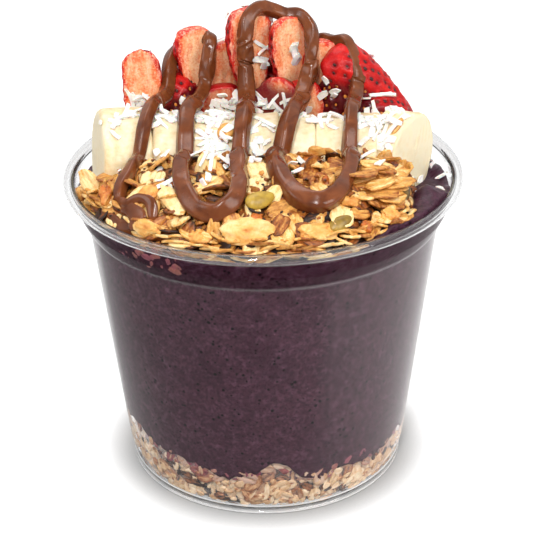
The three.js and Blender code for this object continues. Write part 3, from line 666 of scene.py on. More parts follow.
def make_acai():
    """The puree from the lower granola to its free surface, reaching just into the wall."""
    sides, into_wall = 288, 0.12
    _, ring = circle(sides)
    rows, wet = [], []

    def level_row(part, level, wetness=0.0):
        """A ring at part of the radius, with its height from level(x, y)."""
        radius = np.full(sides, 50.0)
        for _ in range(5):
            z = level(*(ring * radius[:, None] * part).T)
            radius = wall_radius(z) + into_wall
        wet.append(np.full(sides, wetness))
        return np.column_stack([ring * (radius * part)[:, None], z])

    def low(x, y):
        p = np.column_stack([x, y, np.zeros_like(x)])
        near_wall = smoothstep(30, 40, np.hypot(x, y))
        drip = 1.9 * noise(p, 4.5, 5) + 1.0 * noise(p, 1.6, 6)
        return base_top(x, y) * (1 - near_wall) + (low_edge(x, y) + drip) * near_wall - 0.3

    def high(x, y):
        p = np.column_stack([x, y, np.zeros_like(x)])
        azimuth, reach = np.degrees(np.arctan2(y, x)), np.hypot(x, y)
        folds = 0.45 * fractal(p, 6, 4, 31) + 0.15 * np.sin(0.9 * x + 0.4 * y + 1.5 * noise(p, 9, 4))
        meet = 0.8 * smoothstep(50, 54, reach)
        seep = 4.6 * smoothstep(45, 51, reach) * smoothstep(-64, -50, azimuth)
        seep = seep * (1 - smoothstep(-24, -8, azimuth))
        return acai_top(x, y) + folds + meet + seep

    for part in (0.02, 0.4, 0.75, 0.92, 1.0):
        rows.append(level_row(part, low))
    bottom, top = rows[-1][:, 2], level_row(1.0, high)[:, 2]
    wet.pop()
    for t in np.linspace(0, 1, 62)[1:]:
        z = bottom + (top - bottom) * t
        radius = wall_radius(z) + into_wall * (1 - 0.9 * smoothstep(0.985, 1.0, t))
        rows.append(np.column_stack([ring * radius[:, None], z]))
        wet.append(np.full(sides, float(t > 0.999)))
    for part in SURFACE_RINGS:
        rows.append(level_row(part, high, 1.0))
    batch = Batch()
    points, wet = np.concatenate(rows), np.concatenate(wet)
    # Painted shade: the puree above the step in the wall, under the lip, is darkened in its colour.
    upper = 0.3 * smoothstep(80.5, 82.5, points[:, 2]) * (1 - wet)
    batch.add(points, tube(len(rows), sides), wet=wet, upper=upper)
    piece("acai_puree", batch, [ACAI], ["acai"])


# ---- Granola ----
# An oat from the middle of its top to the middle of its underside: part of its radius, and
# height as a part of half its thickness.
OAT_ROWS = [
    (0.04, 1), (0.3, 1), (0.56, 1), (0.8, 0.96), (0.95, 0.75), (1.0, 0.1), (0.96, -0.7), (0.6, -1),
    (0.04, -1),
]


def outline_wobble(angles, amount):
    """Parts of its radius by which a round outline swings in and out, about 1."""
    waves = []
    for k in (1, 2, 3, 5):
        height = amount / k * math.sin(rng.uniform(0, 6.3))
        waves.append(height * np.cos(k * angles + rng.uniform(0, 6.3)))
    return 1 + sum(waves)


def oat(length, width, thickness, around=18, broken=0.0):
    """A rolled oat: a thin flat oval with a crease, short cracks in its rim and a slight curl."""
    angles, _ = circle(around)
    wobble = outline_wobble(angles, 0.1) * rng.uniform(0.93, 1.04, around)
    curl, twist, tilt = rng.uniform(-0.16, 0.16), rng.uniform(-0.07, 0.07), rng.uniform(0, 6.3)
    rows, edges = [], []
    for part, level in OAT_ROWS:
        reach = part * wobble
        x, y = reach * np.cos(angles), reach * np.sin(angles)
        x = np.minimum(x, 1 - broken)
        crease = -0.75 * np.exp(-((y / 0.12) ** 2)) * (1 - part**4) * (level > 0)
        folds = 0.16 * np.cos(9 * y + tilt) * part * (level > 0) + 0.16 * np.sin(4 * x + tilt) * part
        z = thickness * (0.5 * level + crease + folds) + curl * length * 0.3 * x**2 + twist * length * x * y
        rows.append(np.column_stack([x * length / 2, y * width / 2, z]))
        edges.append(np.full(around, part**5) + 0.5 * np.exp(-((y / 0.14) ** 2)) * (level > 0))
    faces = [group[:, ::-1] for group in tube(len(rows), around)]
    return np.concatenate(rows), faces, np.concatenate(edges)


def rough_lump(size, n=6, crag=0.22, burn=0.0):
    """A broken nut or baked cluster: a ball with flats, crags and browned ridges."""
    points, quads = ball(n)
    seed = int(rng.integers(1, 9999))
    flats = unit(rng.normal(size=(9, 3)))
    reach = np.ones(len(points))
    for flat in flats:
        reach = np.minimum(reach, rng.uniform(0.62, 0.92) / np.maximum(points @ flat, 0.05))
    reach *= 1 + crag * (0.8 * fractal(points, 0.9, 3, seed) - 0.7 * np.abs(noise(points, 0.4, seed + 5)))
    edge = np.clip(0.9 * np.abs(fractal(points, 0.5, 2, seed + 9)), 0, 1)
    browned = np.exp(-((points[:, 0] - 0.1) ** 2 + (points[:, 1] + 0.35) ** 2) / 0.22)
    return points * reach[:, None] * np.asarray(size) / 2, [quads], edge + burn * browned * 3


def within_cup(points, margin=0.1):
    """Points drawn in to stay inside the wall and over the floor."""
    points = points.copy()
    limit = wall_radius(points[:, 2]) - margin
    points[:, :2] *= np.minimum(1, limit / np.maximum(np.hypot(points[:, 0], points[:, 1]), 1))[:, None]
    points[:, 2] = np.maximum(points[:, 2], 1.75)
    return points


def settle(shape, at, normal, turn):
    points, faces, edge = shape
    return points @ on_normal(normal, turn).T + np.asarray(at), faces, edge


def tipped(normal, lean):
    """A normal leaning by a random amount of up to `lean` radians."""
    side = unit(np.cross(normal, rng.normal(size=3)))
    return unit(np.asarray(normal) + side * math.tan(min(abs(rng.normal(0, lean)), 1.3)))


# ---- Drizzle ----
def drizzle_route():
    points = []
    for ground, spots in DRIZZLE:
        if ground == "berries":
            points += [np.array(p, float) for p in spots]
        elif ground == "granola":
            points += [np.array([x, y, heap_top(x, y) + DRIZZLE_LIFT]) for x, y in spots]
        else:
            front, top, raised = spots
            reach = ROW_RADIUS + DRIZZLE_LIFT + raised
            climb = []
            for i, angle in enumerate(ROW_ANGLES):
                a = math.radians(angle)
                x = front + (top - front) * i / (len(ROW_ANGLES) - 1)
                climb.append(np.array([x, ROW_Y - reach * math.sin(a), ROW_Z + reach * math.cos(a)]))
            points += climb if ground == "up" else climb[::-1]
    return points


def through(points, step):
    """A smooth curve through points, sampled about every `step`: centripetal Catmull-Rom."""
    points = [2 * points[0] - points[1], *points, 2 * points[-1] - points[-2]]
    curve = []
    for a, b, c, d in zip(points, points[1:], points[2:], points[3:]):
        ab, bc, cd = (max(np.linalg.norm(q - p), 1e-3) ** 0.5 for p, q in ((a, b), (b, c), (c, d)))
        start = ((b - a) / ab - (c - a) / (ab + bc) + (c - b) / bc) * bc
        end = ((c - b) / bc - (d - b) / (bc + cd) + (d - c) / cd) * bc
        for t in np.linspace(0, 1, 16, endpoint=False):
            curve.append((2 * t**3 - 3 * t**2 + 1) * b + (t**3 - 2 * t**2 + t) * start
                         + (3 * t**2 - 2 * t**3) * c + (t**3 - t**2) * end)
    curve = np.array(curve + [points[-2]])
    length = np.concatenate([[0], np.cumsum(np.linalg.norm(np.diff(curve, axis=0), axis=1))])
    at = np.linspace(0, length[-1], int(length[-1] / step) + 1)
    return np.column_stack([np.interp(at, length, curve[:, k]) for k in range(3)]), at


def rope(path, at, width, height, around=26, core=(4, 14, 88), seed=1, square=6.0, twist=0.0):
    """A soft rope with flat sides along a path; `up` is away from what it lies on."""
    n = len(path)
    along = unit(np.gradient(path, axis=0))
    up = path - np.array([path[:, 0] * 0.75, np.full(n, core[1]), np.full(n, core[2])]).T
    up = unit(up - np.sum(up * along, axis=1, keepdims=True) * along)
    for _ in range(12):
        before, after = np.vstack([up[:1], up[:-1]]), np.vstack([up[1:], up[-1:]])
        up = unit(up + 0.5 * before + 0.5 * after)
        up = unit(up - np.sum(up * along, axis=1, keepdims=True) * along)
    side = np.cross(along, up)
    line = np.column_stack([at, np.zeros(n), np.zeros(n)])
    swell = 1 + 0.05 * noise(line, 9, seed) + 0.03 * noise(line, 3.2, seed + 1)
    turned = 0.3 + 0.5 * noise(line, 34, seed + 2) + 0.12 * noise(line, 9, seed + 3) + twist
    end = np.clip(np.minimum(at, at[-1] - at) / (0.8 * height), 0, 1)
    cap = np.sqrt(np.clip(1 - (1 - end) ** 2, 0.002, 1))
    phi, _ = circle(around)
    rows = []
    for i in range(n):
        c, s = np.abs(np.cos(phi - turned[i])), np.abs(np.sin(phi - turned[i]))
        r = (c**square + s**square) ** (-1 / square) * swell[i] * cap[i] * 0.88
        across, rise = r * np.cos(phi) * width[i] / 2, r * np.sin(phi) * height[i] / 2
        rows.append(path[i] + across[:, None] * side[i] + rise[:, None] * up[i])
    return np.concatenate(rows), tube(n, around)


# Width of the rope by the distance along it.
ROPE_WIDTHS = [
    (0, 2.8), (8, 3.7), (14, 3.0), (20, 3.1), (27, 3.8), (41, 3.9), (66, 4.0), (82, 3.8), (90, 4.5),
    (99, 4.4), (107, 4.1), (118, 5.2), (132, 4.9), (148, 5.0), (160, 5.3), (173, 6.2), (190, 5.3),
    (206, 5.3), (216, 4.8), (245, 4.8), (256, 4.3), (268, 4.7), (276, 3.6), (283, 3.4), (289, 4.0),
    (298, 4.0), (306, 4.8), (330, 4.6), (346, 5.0), (358, 5.2), (374, 6.0), (388, 5.4), (398, 4.5),
    (413, 4.5), (424, 3.9), (440, 4.4), (452, 4.2), (466, 3.6),
]

# Where it was laid down in steps: distance, how much it grows and how far it shifts sideways.
ROPE_JOINTS = [
    (46, 0.9, 0.5), (116.5, 1.3, -0.6), (149, 0.5, 0.3), (229, 0.4, 0.2), (253, 0.7, 0.3), (300, 0.8, -0.7),
    (313, 1.0, -0.5), (343, 1.2, -0.4), (404, 0.5, 0.3), (429.5, 0.6, 0.3), (447, 0.7, 0.4),
]

# Smears of spread at the left front: (x, y, height above the heap) along each, width, thickness.
FILMS = [
    ([(-39.6, -32.2, 2.4), (-37.2, -34.6, 3.2), (-33.6, -35.8, 3.9), (-30.6, -38.6, 3.3), (-29.8, -42, 1.6)],
     3.8, 1.5),
    ([(-45.2, -26.6, -1.4), (-43.2, -30.8, -1.2), (-39.6, -35.2, -1), (-35.4, -39, -1), (-30.6, -42.3, -1),
      (-24.6, -45.6, -1.4)],
     6.4, 1.8),
    ([(-41.8, -30.4, 1.6), (-38.2, -33.8, 2.2), (-35.4, -37.8, 2.4), (-33.6, -41.6, 1.7)], 6.5, 1.2),
]
ROPE_STEP, FILM_STEP = 0.34, 0.5
ROPE_CEILING = 136.2  # the top of the solids


def film_paths():
    for spots, wide, thick in FILMS:
        line = [np.array([x, y, heap_top(x, y) + lift]) for x, y, lift in spots]
        yield (*through(line, FILM_STEP), wide, thick)


rope_path, rope_at = through(drizzle_route(), ROPE_STEP)
SMEARS = list(film_paths())


def make_drizzle():
    width = np.interp(rope_at, *zip(*ROPE_WIDTHS))
    height = 0.35 * width + 2.9
    path, twist = rope_path.copy(), np.zeros(len(rope_at))
    sideways = unit(np.cross(np.gradient(path, axis=0), [0, -0.4, 1]))
    for at, growth, shift in ROPE_JOINTS:
        past = rope_at - at
        step = smoothstep(-0.4, 0.4, past) * np.exp(-np.maximum(past, 0) / 8)
        step = step - 0.42 * np.exp(-((past + 0.7) / 0.6) ** 2)
        width, height = width + growth * 0.9 * step, height + 0.8 * growth * step
        path += (shift * 0.9 * np.maximum(step, 0))[:, None] * sideways
        twist -= 0.3 * shift * np.maximum(step, 0)
    batch = Batch()
    points, faces = rope(path, rope_at, width, height, twist=twist)
    points[:, 2] = np.minimum(points[:, 2], ROPE_CEILING)
    batch.add(points, faces)
    for run, run_at, wide, thick in SMEARS:
        wobble = 1 + 0.35 * noise(run, 4.0, 3) - 0.35 * (2 * run_at / run_at[-1] - 1) ** 2
        points, faces = rope(run, run_at, wide * wobble, np.full(len(run), thick), square=2.2)
        batch.add(within_cup(points, 0.25), faces)
    piece("hazelnut_drizzle_rope", batch, [SPREAD], ["hazelnut_drizzle"])


def near_rope(p):
    """Distance to the rope, or to a smear where that is nearer and thinner by 1.6."""
    p = np.asarray(p)
    smear = min(np.min(np.linalg.norm(run - p, axis=1)) for run, *_ in SMEARS)
    return min(np.min(np.linalg.norm(rope_path[::3] - p, axis=1)), smear + 1.6)


# ---- Banana ----
# How far each face comes out towards its neighbour, so that no dark gap shows.
CLOSER = [0.95, 0.75, 0.5, 0.5, 0.45, 0.65, 0.95, 0.5]


def make_bananas():
    around = 96
    phi, _ = circle(around)
    for i, (thickness, radius, middle, turn, lean) in enumerate(COINS):
        half, edge = thickness / 2 + CLOSER[i], (2.8 if i == 0 else 1.4)
        bevel = [
            (radius - edge * (1 - math.sin(b)), half - 0.75 * edge * (1 - math.cos(b)))
            for b in np.radians([0, 22, 45, 68, 90])
        ]
        flat_parts = (0.01, 0.1, 0.2, 0.3, 0.4, 0.5, 0.6, 0.68, 0.76, 0.83, 0.88)
        cap = [(radius * part, half) for part in flat_parts if radius * (1 - part) > edge + 0.1]
        side = [(radius, h) for h in np.linspace(half - 0.75 * edge, 0.75 * edge - half, 11)[1:-1]]
        profile = cap + bevel + side + [(r, -h) for r, h in (cap + bevel)[::-1]]
        lobes = 1 - 0.02 * np.cos(3 * phi + 1.7 * i) + 0.008 * np.cos(5 * phi + i)
        rows = []
        for r, h in profile:
            x, y = r * np.cos(phi) * lobes, r * np.sin(phi) * lobes
            rows.append(np.column_stack([x, y, np.full(around, h)]))
        local = np.concatenate(rows)
        r_all = np.repeat([p[0] for p in profile], around) / radius
        h_all = np.repeat([abs(p[1]) for p in profile], around)
        on_face = smoothstep(half - 0.55, half - 0.1, h_all)
        warped = local.copy()
        out = unit(local * [1, 1, 0])
        fibre = 0.2 * fractal(local * [1, 1, 0.35], 2.4, 3, 40 + i) + 0.35 * noise(local, 7, 50 + i)
        waist = -0.35 * (1 - (h_all / half) ** 2) * (0.4 + noise(local * [1, 1, 0], 9, 55 + i))
        warped += out * ((fibre * (1 - 0.4 * on_face) + waist) * smoothstep(0.5, 1, r_all))[:, None]
        cut = 0.22 * noise(local * [1, 1, 3], 6, 60 + i) + 0.07 * fractal(local * [1, 1, 3], 1.6, 2, 70 + i)
        across = 0.75 * local[:, 0] + 0.66 * local[:, 1] - 0.02 * (local[:, 1] - local[:, 0]) ** 2
        knife = np.sin(2.7 * across + 1.5 * noise(local, 7, 80 + i))
        warped[:, 2] += np.sign(local[:, 2]) * (cut + 0.06 * knife - 0.25 * r_all**4) * on_face
        chip = np.maximum(noise(local, 3.0, 90 + i) - 0.3, 0) * smoothstep(0.82, 1, r_all)
        chip = chip * smoothstep(half - 2, half, h_all)
        warped -= out * (1.1 * chip)[:, None]
        lines = smoothstep(0.45, 0.95, -knife) * smoothstep(-0.2, 0.4, noise(local, 5, 85 + i))
        turned = Matrix.Rotation(math.radians(turn), 3, "Z") @ Matrix.Rotation(math.radians(lean), 3, "Y")
        columns = frames(np.array(turned @ Vector((-1, 0, 0))), (0, 0, -1))
        batch = Batch()
        batch.add(warped @ columns.T + np.array(middle), tube(len(profile), around),
                  face=on_face, radial=r_all, knife=lines)
        piece(f"banana_slice_{i + 1}", batch, [BANANA], [f"banana_{i + 1}"])


# ---- Strawberries ----
BERRY_HEIGHTS = [-0.5, -0.485, -0.42, -0.29, -0.15, 0.0, 0.16, 0.3, 0.4, 0.46, 0.49, 0.5]
BERRY_RADII = [0.0, 0.09, 0.21, 0.325, 0.41, 0.47, 0.5, 0.475, 0.41, 0.32, 0.2, 0.0]
# What is kept of a berry, as parts of its width: each cut plane's normal and offset.
CUT_PLANES = {
    "half": [((-1, 0, 0), 0)],
    "quarter": [((-1, 0, 0), 0), ((0, -1, 0), 0)],
    "slice": [((1, 0, 0), 0.16), ((-1, 0, 0), 0.16)],
}
# The middle of what is kept, and what is moved to the place given, as parts of the width.
CUT_MIDDLE = {"half": (0.21, 0, 0), "quarter": (0.19, 0.19, 0), "slice": (0, 0, 0)}
CUT_CENTRE = {"half": (0.25, 0, 0), "quarter": (0.25, 0.25, 0), "slice": (0, 0, 0)}
CUT_REACH = {"half": (0.25, 0.5), "quarter": (0.26, 0.26), "slice": (0.16, 0.5)}
IN_FRONT = 13  # pieces that show in the photo
HULLED = 6  # pieces whose stalk end is cut off


def skin_radius(z):
    return np.interp(z, BERRY_HEIGHTS, BERRY_RADII)


def seed_places(length, width):
    """Where the seeds sit on a whole berry, at an even spacing: points and outward normals."""
    z = np.linspace(-0.47, 0.44, 400)
    area = np.cumsum(skin_radius(z) * width)
    count = max(int(2 * math.pi * area[-1] * length * (z[1] - z[0]) / 8.5), 20)
    at = np.interp((np.arange(count) + 0.5) / count, area / area[-1], z)
    a = np.arange(count) * GOLDEN + rng.uniform(-0.12, 0.12, count)
    r = skin_radius(at) * width
    slope = (skin_radius(at + 0.01) - skin_radius(at - 0.01)) * width / (0.02 * length)
    points = np.column_stack([r * np.cos(a), r * np.sin(a), at * length])
    return points, unit(np.column_stack([np.cos(a), np.sin(a), -slope]))


def syrup(points, amount):
    """How dark the fruit is with syrup: it gathers low in the pile, below a slanting line."""
    line = 113 - 0.6 * np.maximum(points[:, 0] - 26, 0) - 0.25 * np.maximum(-10 - points[:, 0], 0)
    return amount * smoothstep(2, -2, points[:, 2] - line + 2.5 * noise(points, 5, 8))


def make_berries():
    seed_points, seed_quads = ball(2)
    for i, (cut, (length, width), at, tip, face, (juice, redness, boxy)) in enumerate(BERRIES):
        directions, quads = ball(36 if i < IN_FRONT else 24)
        planes = CUT_PLANES[cut]
        middle = np.array(CUT_MIDDLE[cut]) * width
        reach = np.array([CUT_REACH[cut][0] * width, CUT_REACH[cut][1] * width, 0.5 * length])
        ray = directions * reach

        def profile(h):
            """Radius of the whole berry over its width; boxy ones stay wide to blunt ends."""
            r = skin_radius(h)
            return r + boxy * (0.47 * np.sqrt(np.clip(1 - np.abs(2 * h) ** 11, 0, 1)) - r) * 0.8

        def outside(t):
            p = middle + ray * t[:, None]
            h = p[:, 2] / length
            return (np.hypot(p[:, 0], p[:, 1]) > profile(h) * width) | (np.abs(h) > 0.5)

        low, high = np.zeros(len(ray)), np.full(len(ray), 3.0)
        for _ in range(26):
            half = (low + high) / 2
            out = outside(half)
            low, high = np.where(out, low, half), np.where(out, half, high)
        t_skin = low
        t_cut = np.full(len(ray), 9.0)
        for normal, offset in planes:
            toward = ray @ np.array(normal, float)
            room = offset * width - middle @ np.array(normal, float)
            t_cut = np.minimum(t_cut, np.where(toward > 1e-6, room / np.maximum(toward, 1e-6), 9.0))
        sharp = 30.0
        t = -np.log(np.exp(-sharp * t_skin) + np.exp(-sharp * t_cut)) / sharp
        skin = 1 / (1 + np.exp(-70 * (t_cut - t_skin)))
        local = middle + ray * t[:, None]
        up = local[:, 2] / length
        depth = 1 - np.hypot(local[:, 0], local[:, 1]) / np.maximum(profile(up) * width, 0.5)
        hulled = smoothstep(0.38, 0.46, up) * (i < HULLED)
        scar = 0.55 * hulled * smoothstep(0.0, 0.25, depth)
        depth = np.maximum(np.clip(np.minimum(depth * 2.2, (0.5 - up) * 14), 0, 1), scar)

        places, normals = seed_places(length, width)
        places[:, :2] *= (profile(places[:, 2] / length) / skin_radius(places[:, 2] / length))[:, None]
        nearest = np.full(len(local), 99.0)
        for place in places:
            nearest = np.minimum(nearest, np.sum((local - place) ** 2, axis=1))
        # Round each seed: a hollow in the shape, and painted shade in the skin's colour.
        pit = np.exp(-nearest / 0.8) * skin
        swell = np.exp(-nearest / 2.2) * skin
        outward = unit(local - middle * [0.6, 0.6, 1])
        lump = 0.045 * width * noise(local, 9, 200 + i) + 0.16 * noise(local, 2.6, 230 + i)
        ragged = 1.1 * boxy * fractal(local, 3.0, 3, 290 + i) * smoothstep(0.34, 0.5, np.abs(up))
        ridge = 0.22 * fractal(local * [1, 1, 0.5], 1.5, 3, 260 + i)
        ridge = ridge - 0.6 * smoothstep(0.3, 1, depth) * (cut != "slice")
        move = lump + ragged + ridge * (1 - skin) - 0.5 * pit - 0.5 * swell + 0.4 * skin
        shaped = local + outward * move[:, None]

        columns = frames(tip, face)
        shift = np.array(CUT_CENTRE[cut]) * width
        moved = within_cup((shaped - shift) @ columns.T + np.array(at), 1.0)
        batch = Batch()
        batch.add(moved, [quads], skin=skin * (1 - hulled), depth=depth, pit=pit,
                  juice=syrup(moved, juice), redness=float(redness))
        for place, normal in zip(places, normals):
            if any(place @ np.array(n, float) > offset * width - 0.9 for n, offset in planes):
                continue
            basis = frames((0, 0, -1), -normal)
            scale = np.array([0.6, 1.0, 1.5]) * rng.uniform(0.8, 1.1) / 2
            sunk = normal * (-0.42 + 0.045 * width * noise(place[None], 9, 200 + i)[0])
            seed = (seed_points * scale) @ basis.T + place + sunk
            moved = within_cup((seed - shift) @ columns.T + np.array(at), 1.4)
            batch.add(moved, [seed_quads], 1, skin=1.0, depth=0.0, pit=0.0,
                      juice=syrup(moved, juice), redness=0.0)
        piece(f"strawberry_piece_{i + 1}", batch, [BERRY, BERRY_SEED], [f"strawberry_{i + 1}"])


# ---- Upper granola ----
# Nuts that stand out: (x, y), size, turn, tint, how browned in one spot.
LUMPS = [
    ((-25, -37), (14, 6, 3.6), -62, 0.02, 0.15),
    ((-4.7, -50), (14, 7.5, 5), 0, 0.08, 0.5),
    ((15, -49.2), (12, 6, 4.5), 8, 0.2, 0.1),
    ((-33, -34), (10, 7, 4.5), 30, 0.36, 0.2),
    ((-43.5, -26), (8, 5, 4), 80, 0.5, 0.2),
    ((-31, -43), (10, 6, 4), -35, 0.3, 0.3),
    ((-18, -49), (6, 4.5, 3.6), 20, 0.3, 0),
    ((28, -44), (4.6, 4, 3.6), 0, 0.7, 0),
    ((34.5, -38), (7, 6, 4), 40, 0.3, 0.2),
]
# (x, y), size, turn, tint.
PUMPKIN_SEEDS = [
    ((-0.8, -42.3), (9.0, 5.2, 3.5), 30, 0.12),
    ((20.5, -47), (7.5, 4.2, 2.4), 35, 0.4),
    ((39, -29.5), (7, 4, 2.4), 60, 0.8),
]
# Layers of flakes: how many, from and to which height above the heap, how far they tip, shade: a
# painted shade added to their tint, darkest for the deepest layer.
FLAKE_LAYERS = [(230, -1.2, 0.1, 0.3, 0.34), (170, 0.1, 1.4, 0.4, 0.06), (110, 0.9, 2.4, 0.6, -0.06)]
# Oats stuck to the bananas: place, normal, length, width as a part of it, turn.
STUCK_OATS = [
    ((-10.7, -6.9, 108.1), (0, -0.5, 0.86), 6.6, 0.75, 1.3),
    ((38.2, -6.2, 108.6), (-0.3, -0.75, 0.5), 6.5, 0.35, 0.9),
]
STACKED, CRUMBS, SMALL_NUTS = 26, 1700, 60
# Flakes at the front wall: how many, their reach and their height above the heap, in turn.
FRONT_FLAKES = 126
FRONT_REACH, FRONT_LIFT = (53.2, 51.6, 53.9), (0.4, 0.6, -2.4)


def in_heap(x, y, margin=0.0):
    return np.hypot(x, y) < 53.6 - margin and y < -11 and x < 46


def make_upper_granola():
    core = Batch()
    xs, ys = np.linspace(-53, 47, 110), np.linspace(-53, -8, 56)
    x, y = (g.ravel() for g in np.meshgrid(xs, ys))
    reach = np.minimum(1, 52.6 / np.maximum(np.hypot(x, y), 1))
    x, y = x * reach, y * reach
    flat = np.column_stack([x, y, np.zeros_like(x)])
    z = np.maximum(heap_top(x, y) - 1.6 + 0.9 * fractal(flat, 4, 3, 77), 85)
    quads = grid(len(ys), len(xs))
    under = np.column_stack([x, y, np.full_like(x, 84.5)])
    # Painted shade: the bed under the flakes gets the darkest tint, so the gaps between them read as shadow.
    core.add(np.concatenate([np.column_stack([x, y, z]), under]), [quads, quads[:, ::-1] + len(x)],
             tint=1.0, edge=0.6, along=0.0, across=0.0)
    rim = np.concatenate([np.arange(len(xs)), np.arange(1, len(ys)) * len(xs) + len(xs) - 1,
                          len(x) - 2 - np.arange(len(xs) - 1), (np.arange(len(ys) - 2, 0, -1)) * len(xs)])
    after = np.roll(rim, -1)
    core.faces.append(np.column_stack([rim, rim + len(x), after + len(x), after]))
    core.slots.append(np.zeros(len(rim)))
    piece("granola_bed", core, [OAT], ["granola_top"])

    flakes, crumbs, nuts = Batch(), Batch(), Batch()

    def lay(batch, shape, at, normal, turn, tint, streaks=1.0):
        points, faces, edge = settle(shape, at, normal, turn)
        own = shape[0] * streaks + rng.uniform(-80, 80)
        batch.add(within_cup(points), faces, tint=tint, edge=edge, along=own[:, 0], across=own[:, 1])

    for count, low, high, lean, shade in FLAKE_LAYERS:
        for i in range(int(count * 1.9)):
            reach = 54.5 * math.sqrt((i + 0.5) / (count * 1.9))
            a = i * GOLDEN + rng.uniform(-0.05, 0.05) + count
            x, y = reach * math.cos(a), reach * math.sin(a)
            if not in_heap(x, y, 0.6):
                continue
            length = rng.uniform(5.8, 10.4)
            z = heap_top(x, y) + rng.uniform(low, high)
            if near_rope((x, y, z)) < 3.6:
                z = heap_top(x, y) + rng.uniform(-0.9, -0.1)
            leaf = oat(length, length * rng.uniform(0.5, 0.72), rng.uniform(0.6, 1.0),
                       broken=max(0, rng.normal(-0.1, 0.35)))
            # Deeper layers are tinted darker: painted shade.
            tint = around_mean(0.34 + shade, 0.27)
            lay(flakes, leaf, (x, y, z), tipped(heap_normal(x, y), lean), rng.uniform(0, 6.3), tint)
    for i in range(STACKED):
        x, y = rng.uniform(25, 38), rng.uniform(-38, -24)
        z = heap_top(x, y) + 0.4 + 4.2 * (i / STACKED)
        if near_rope((x, y, z)) < 3.8:
            continue
        length = rng.uniform(7, 10.5)
        leaf = oat(length, length * rng.uniform(0.5, 0.65), 0.75)
        normal = tipped((0.05, -0.05, 1), 0.13)
        lay(flakes, leaf, (x, y, z), normal, rng.uniform(-0.5, 0.5), around_mean(0.3, 0.1))
    for at, normal, length, part, turn in STUCK_OATS:
        leaf = oat(length, length * part, 0.8)
        lay(flakes, leaf, at, unit(np.array(normal)), turn, 0.3)
    for i in range(CRUMBS):
        reach = 54 * math.sqrt((i + 0.5) / CRUMBS)
        x, y = reach * math.cos(i * GOLDEN), reach * math.sin(i * GOLDEN)
        if not in_heap(x, y, 0.6):
            continue
        size = random_size(0.8, 2.6, (0.6, 1), (0.4, 0.8))
        at = (x, y, heap_top(x, y) + rng.uniform(-0.8, 1.2))
        crumb = rough_lump(size, 2, 0.3)
        normal = tipped(heap_normal(x, y), 0.5)
        # Crumbs lie low between the flakes; their dark tint is partly their own browning and partly painted
        # shade in those gaps.
        lay(crumbs, crumb, at, normal, rng.uniform(0, 6.3), around_mean(0.7, 0.2))
    for (x, y), size, turn, tint, burn in LUMPS:
        at = (x, y, heap_top(x, y) + 0.4 * size[2])
        lay(nuts, rough_lump(size, 16, 0.3, burn), at, heap_normal(x, y), math.radians(turn), tint, 0.0)
    for i in range(FRONT_FLAKES):
        a, reach = math.radians(-172 + 134 * (i + 0.5) / FRONT_FLAKES), FRONT_REACH[i % 3]
        x, y = reach * math.cos(a), reach * math.sin(a)
        length = rng.uniform(5.5, 9)
        at = (x, y, max(heap_top(x, y), 91.0) + FRONT_LIFT[i % 3] + rng.uniform(-0.6, 0.6))
        if near_rope(at) < 3.2:
            continue
        normal = tipped((-0.35 * math.cos(a), -0.35 * math.sin(a), 1), 0.35)
        leaf = oat(length, length * rng.uniform(0.5, 0.7), 0.8, broken=max(0, rng.normal(-0.1, 0.3)))
        lay(flakes, leaf, at, normal, a + rng.uniform(0.9, 2.2), around_mean(0.22, 0.2))
    for i in range(SMALL_NUTS):
        a, reach = rng.uniform(math.pi * 1.03, math.pi * 1.97), rng.uniform(20, 50)
        x, y = reach * math.cos(a), reach * math.sin(a)
        if not in_heap(x, y, 3) or near_rope((x, y, heap_top(x, y))) < 4.5:
            continue
        size = random_size(2.6, 5.2, (0.6, 0.9), (0.5, 0.7))
        at = (x, y, heap_top(x, y) + rng.uniform(0, 1.4))
        tint = around_mean(0.5, 0.2)
        lay(nuts, rough_lump(size, 7, 0.34), at, heap_normal(x, y), rng.uniform(0, 6.3), tint, 0.0)
    piece("oat_flakes", flakes, [OAT])
    piece("granola_crumbs", crumbs, [OAT])
    piece("nut_pieces", nuts, [NUT])

    seeds = Batch()
    for (x, y), (length, width, thickness), turn, tint in PUMPKIN_SEEDS:
        points, quads = ball(9)
        taper = 1 - 0.2 * points[:, 0]
        body = points * np.array([length, width, thickness]) / 2
        body[:, 1] *= taper
        body[:, 2] *= taper * (1 - 0.25 * np.abs(points[:, 1]) ** 3)
        at = (x, y, heap_top(x, y) + 2.4)
        normal = tipped(heap_normal(x, y), 0.2)
        points, faces, _ = settle((body, [quads], None), at, normal, math.radians(turn))
        seeds.add(within_cup(points), faces, tint=tint)
    piece("pumpkin_seeds", seeds, [PUMPKIN])


# ---- Lower granola ----
# Its core from the middle of the floor round to the middle of its top: parts of its radius
# and height.
CORE_ROWS = [
    (0.02, 0), (0.5, 0), (1, 0), (1, 0.2), (1, 0.4), (1, 0.6), (1, 0.8), (1, 1), (0.8, 1), (0.4, 1),
    (0.02, 1),
]
BITS, BITS_IN_BAND = 760, 26


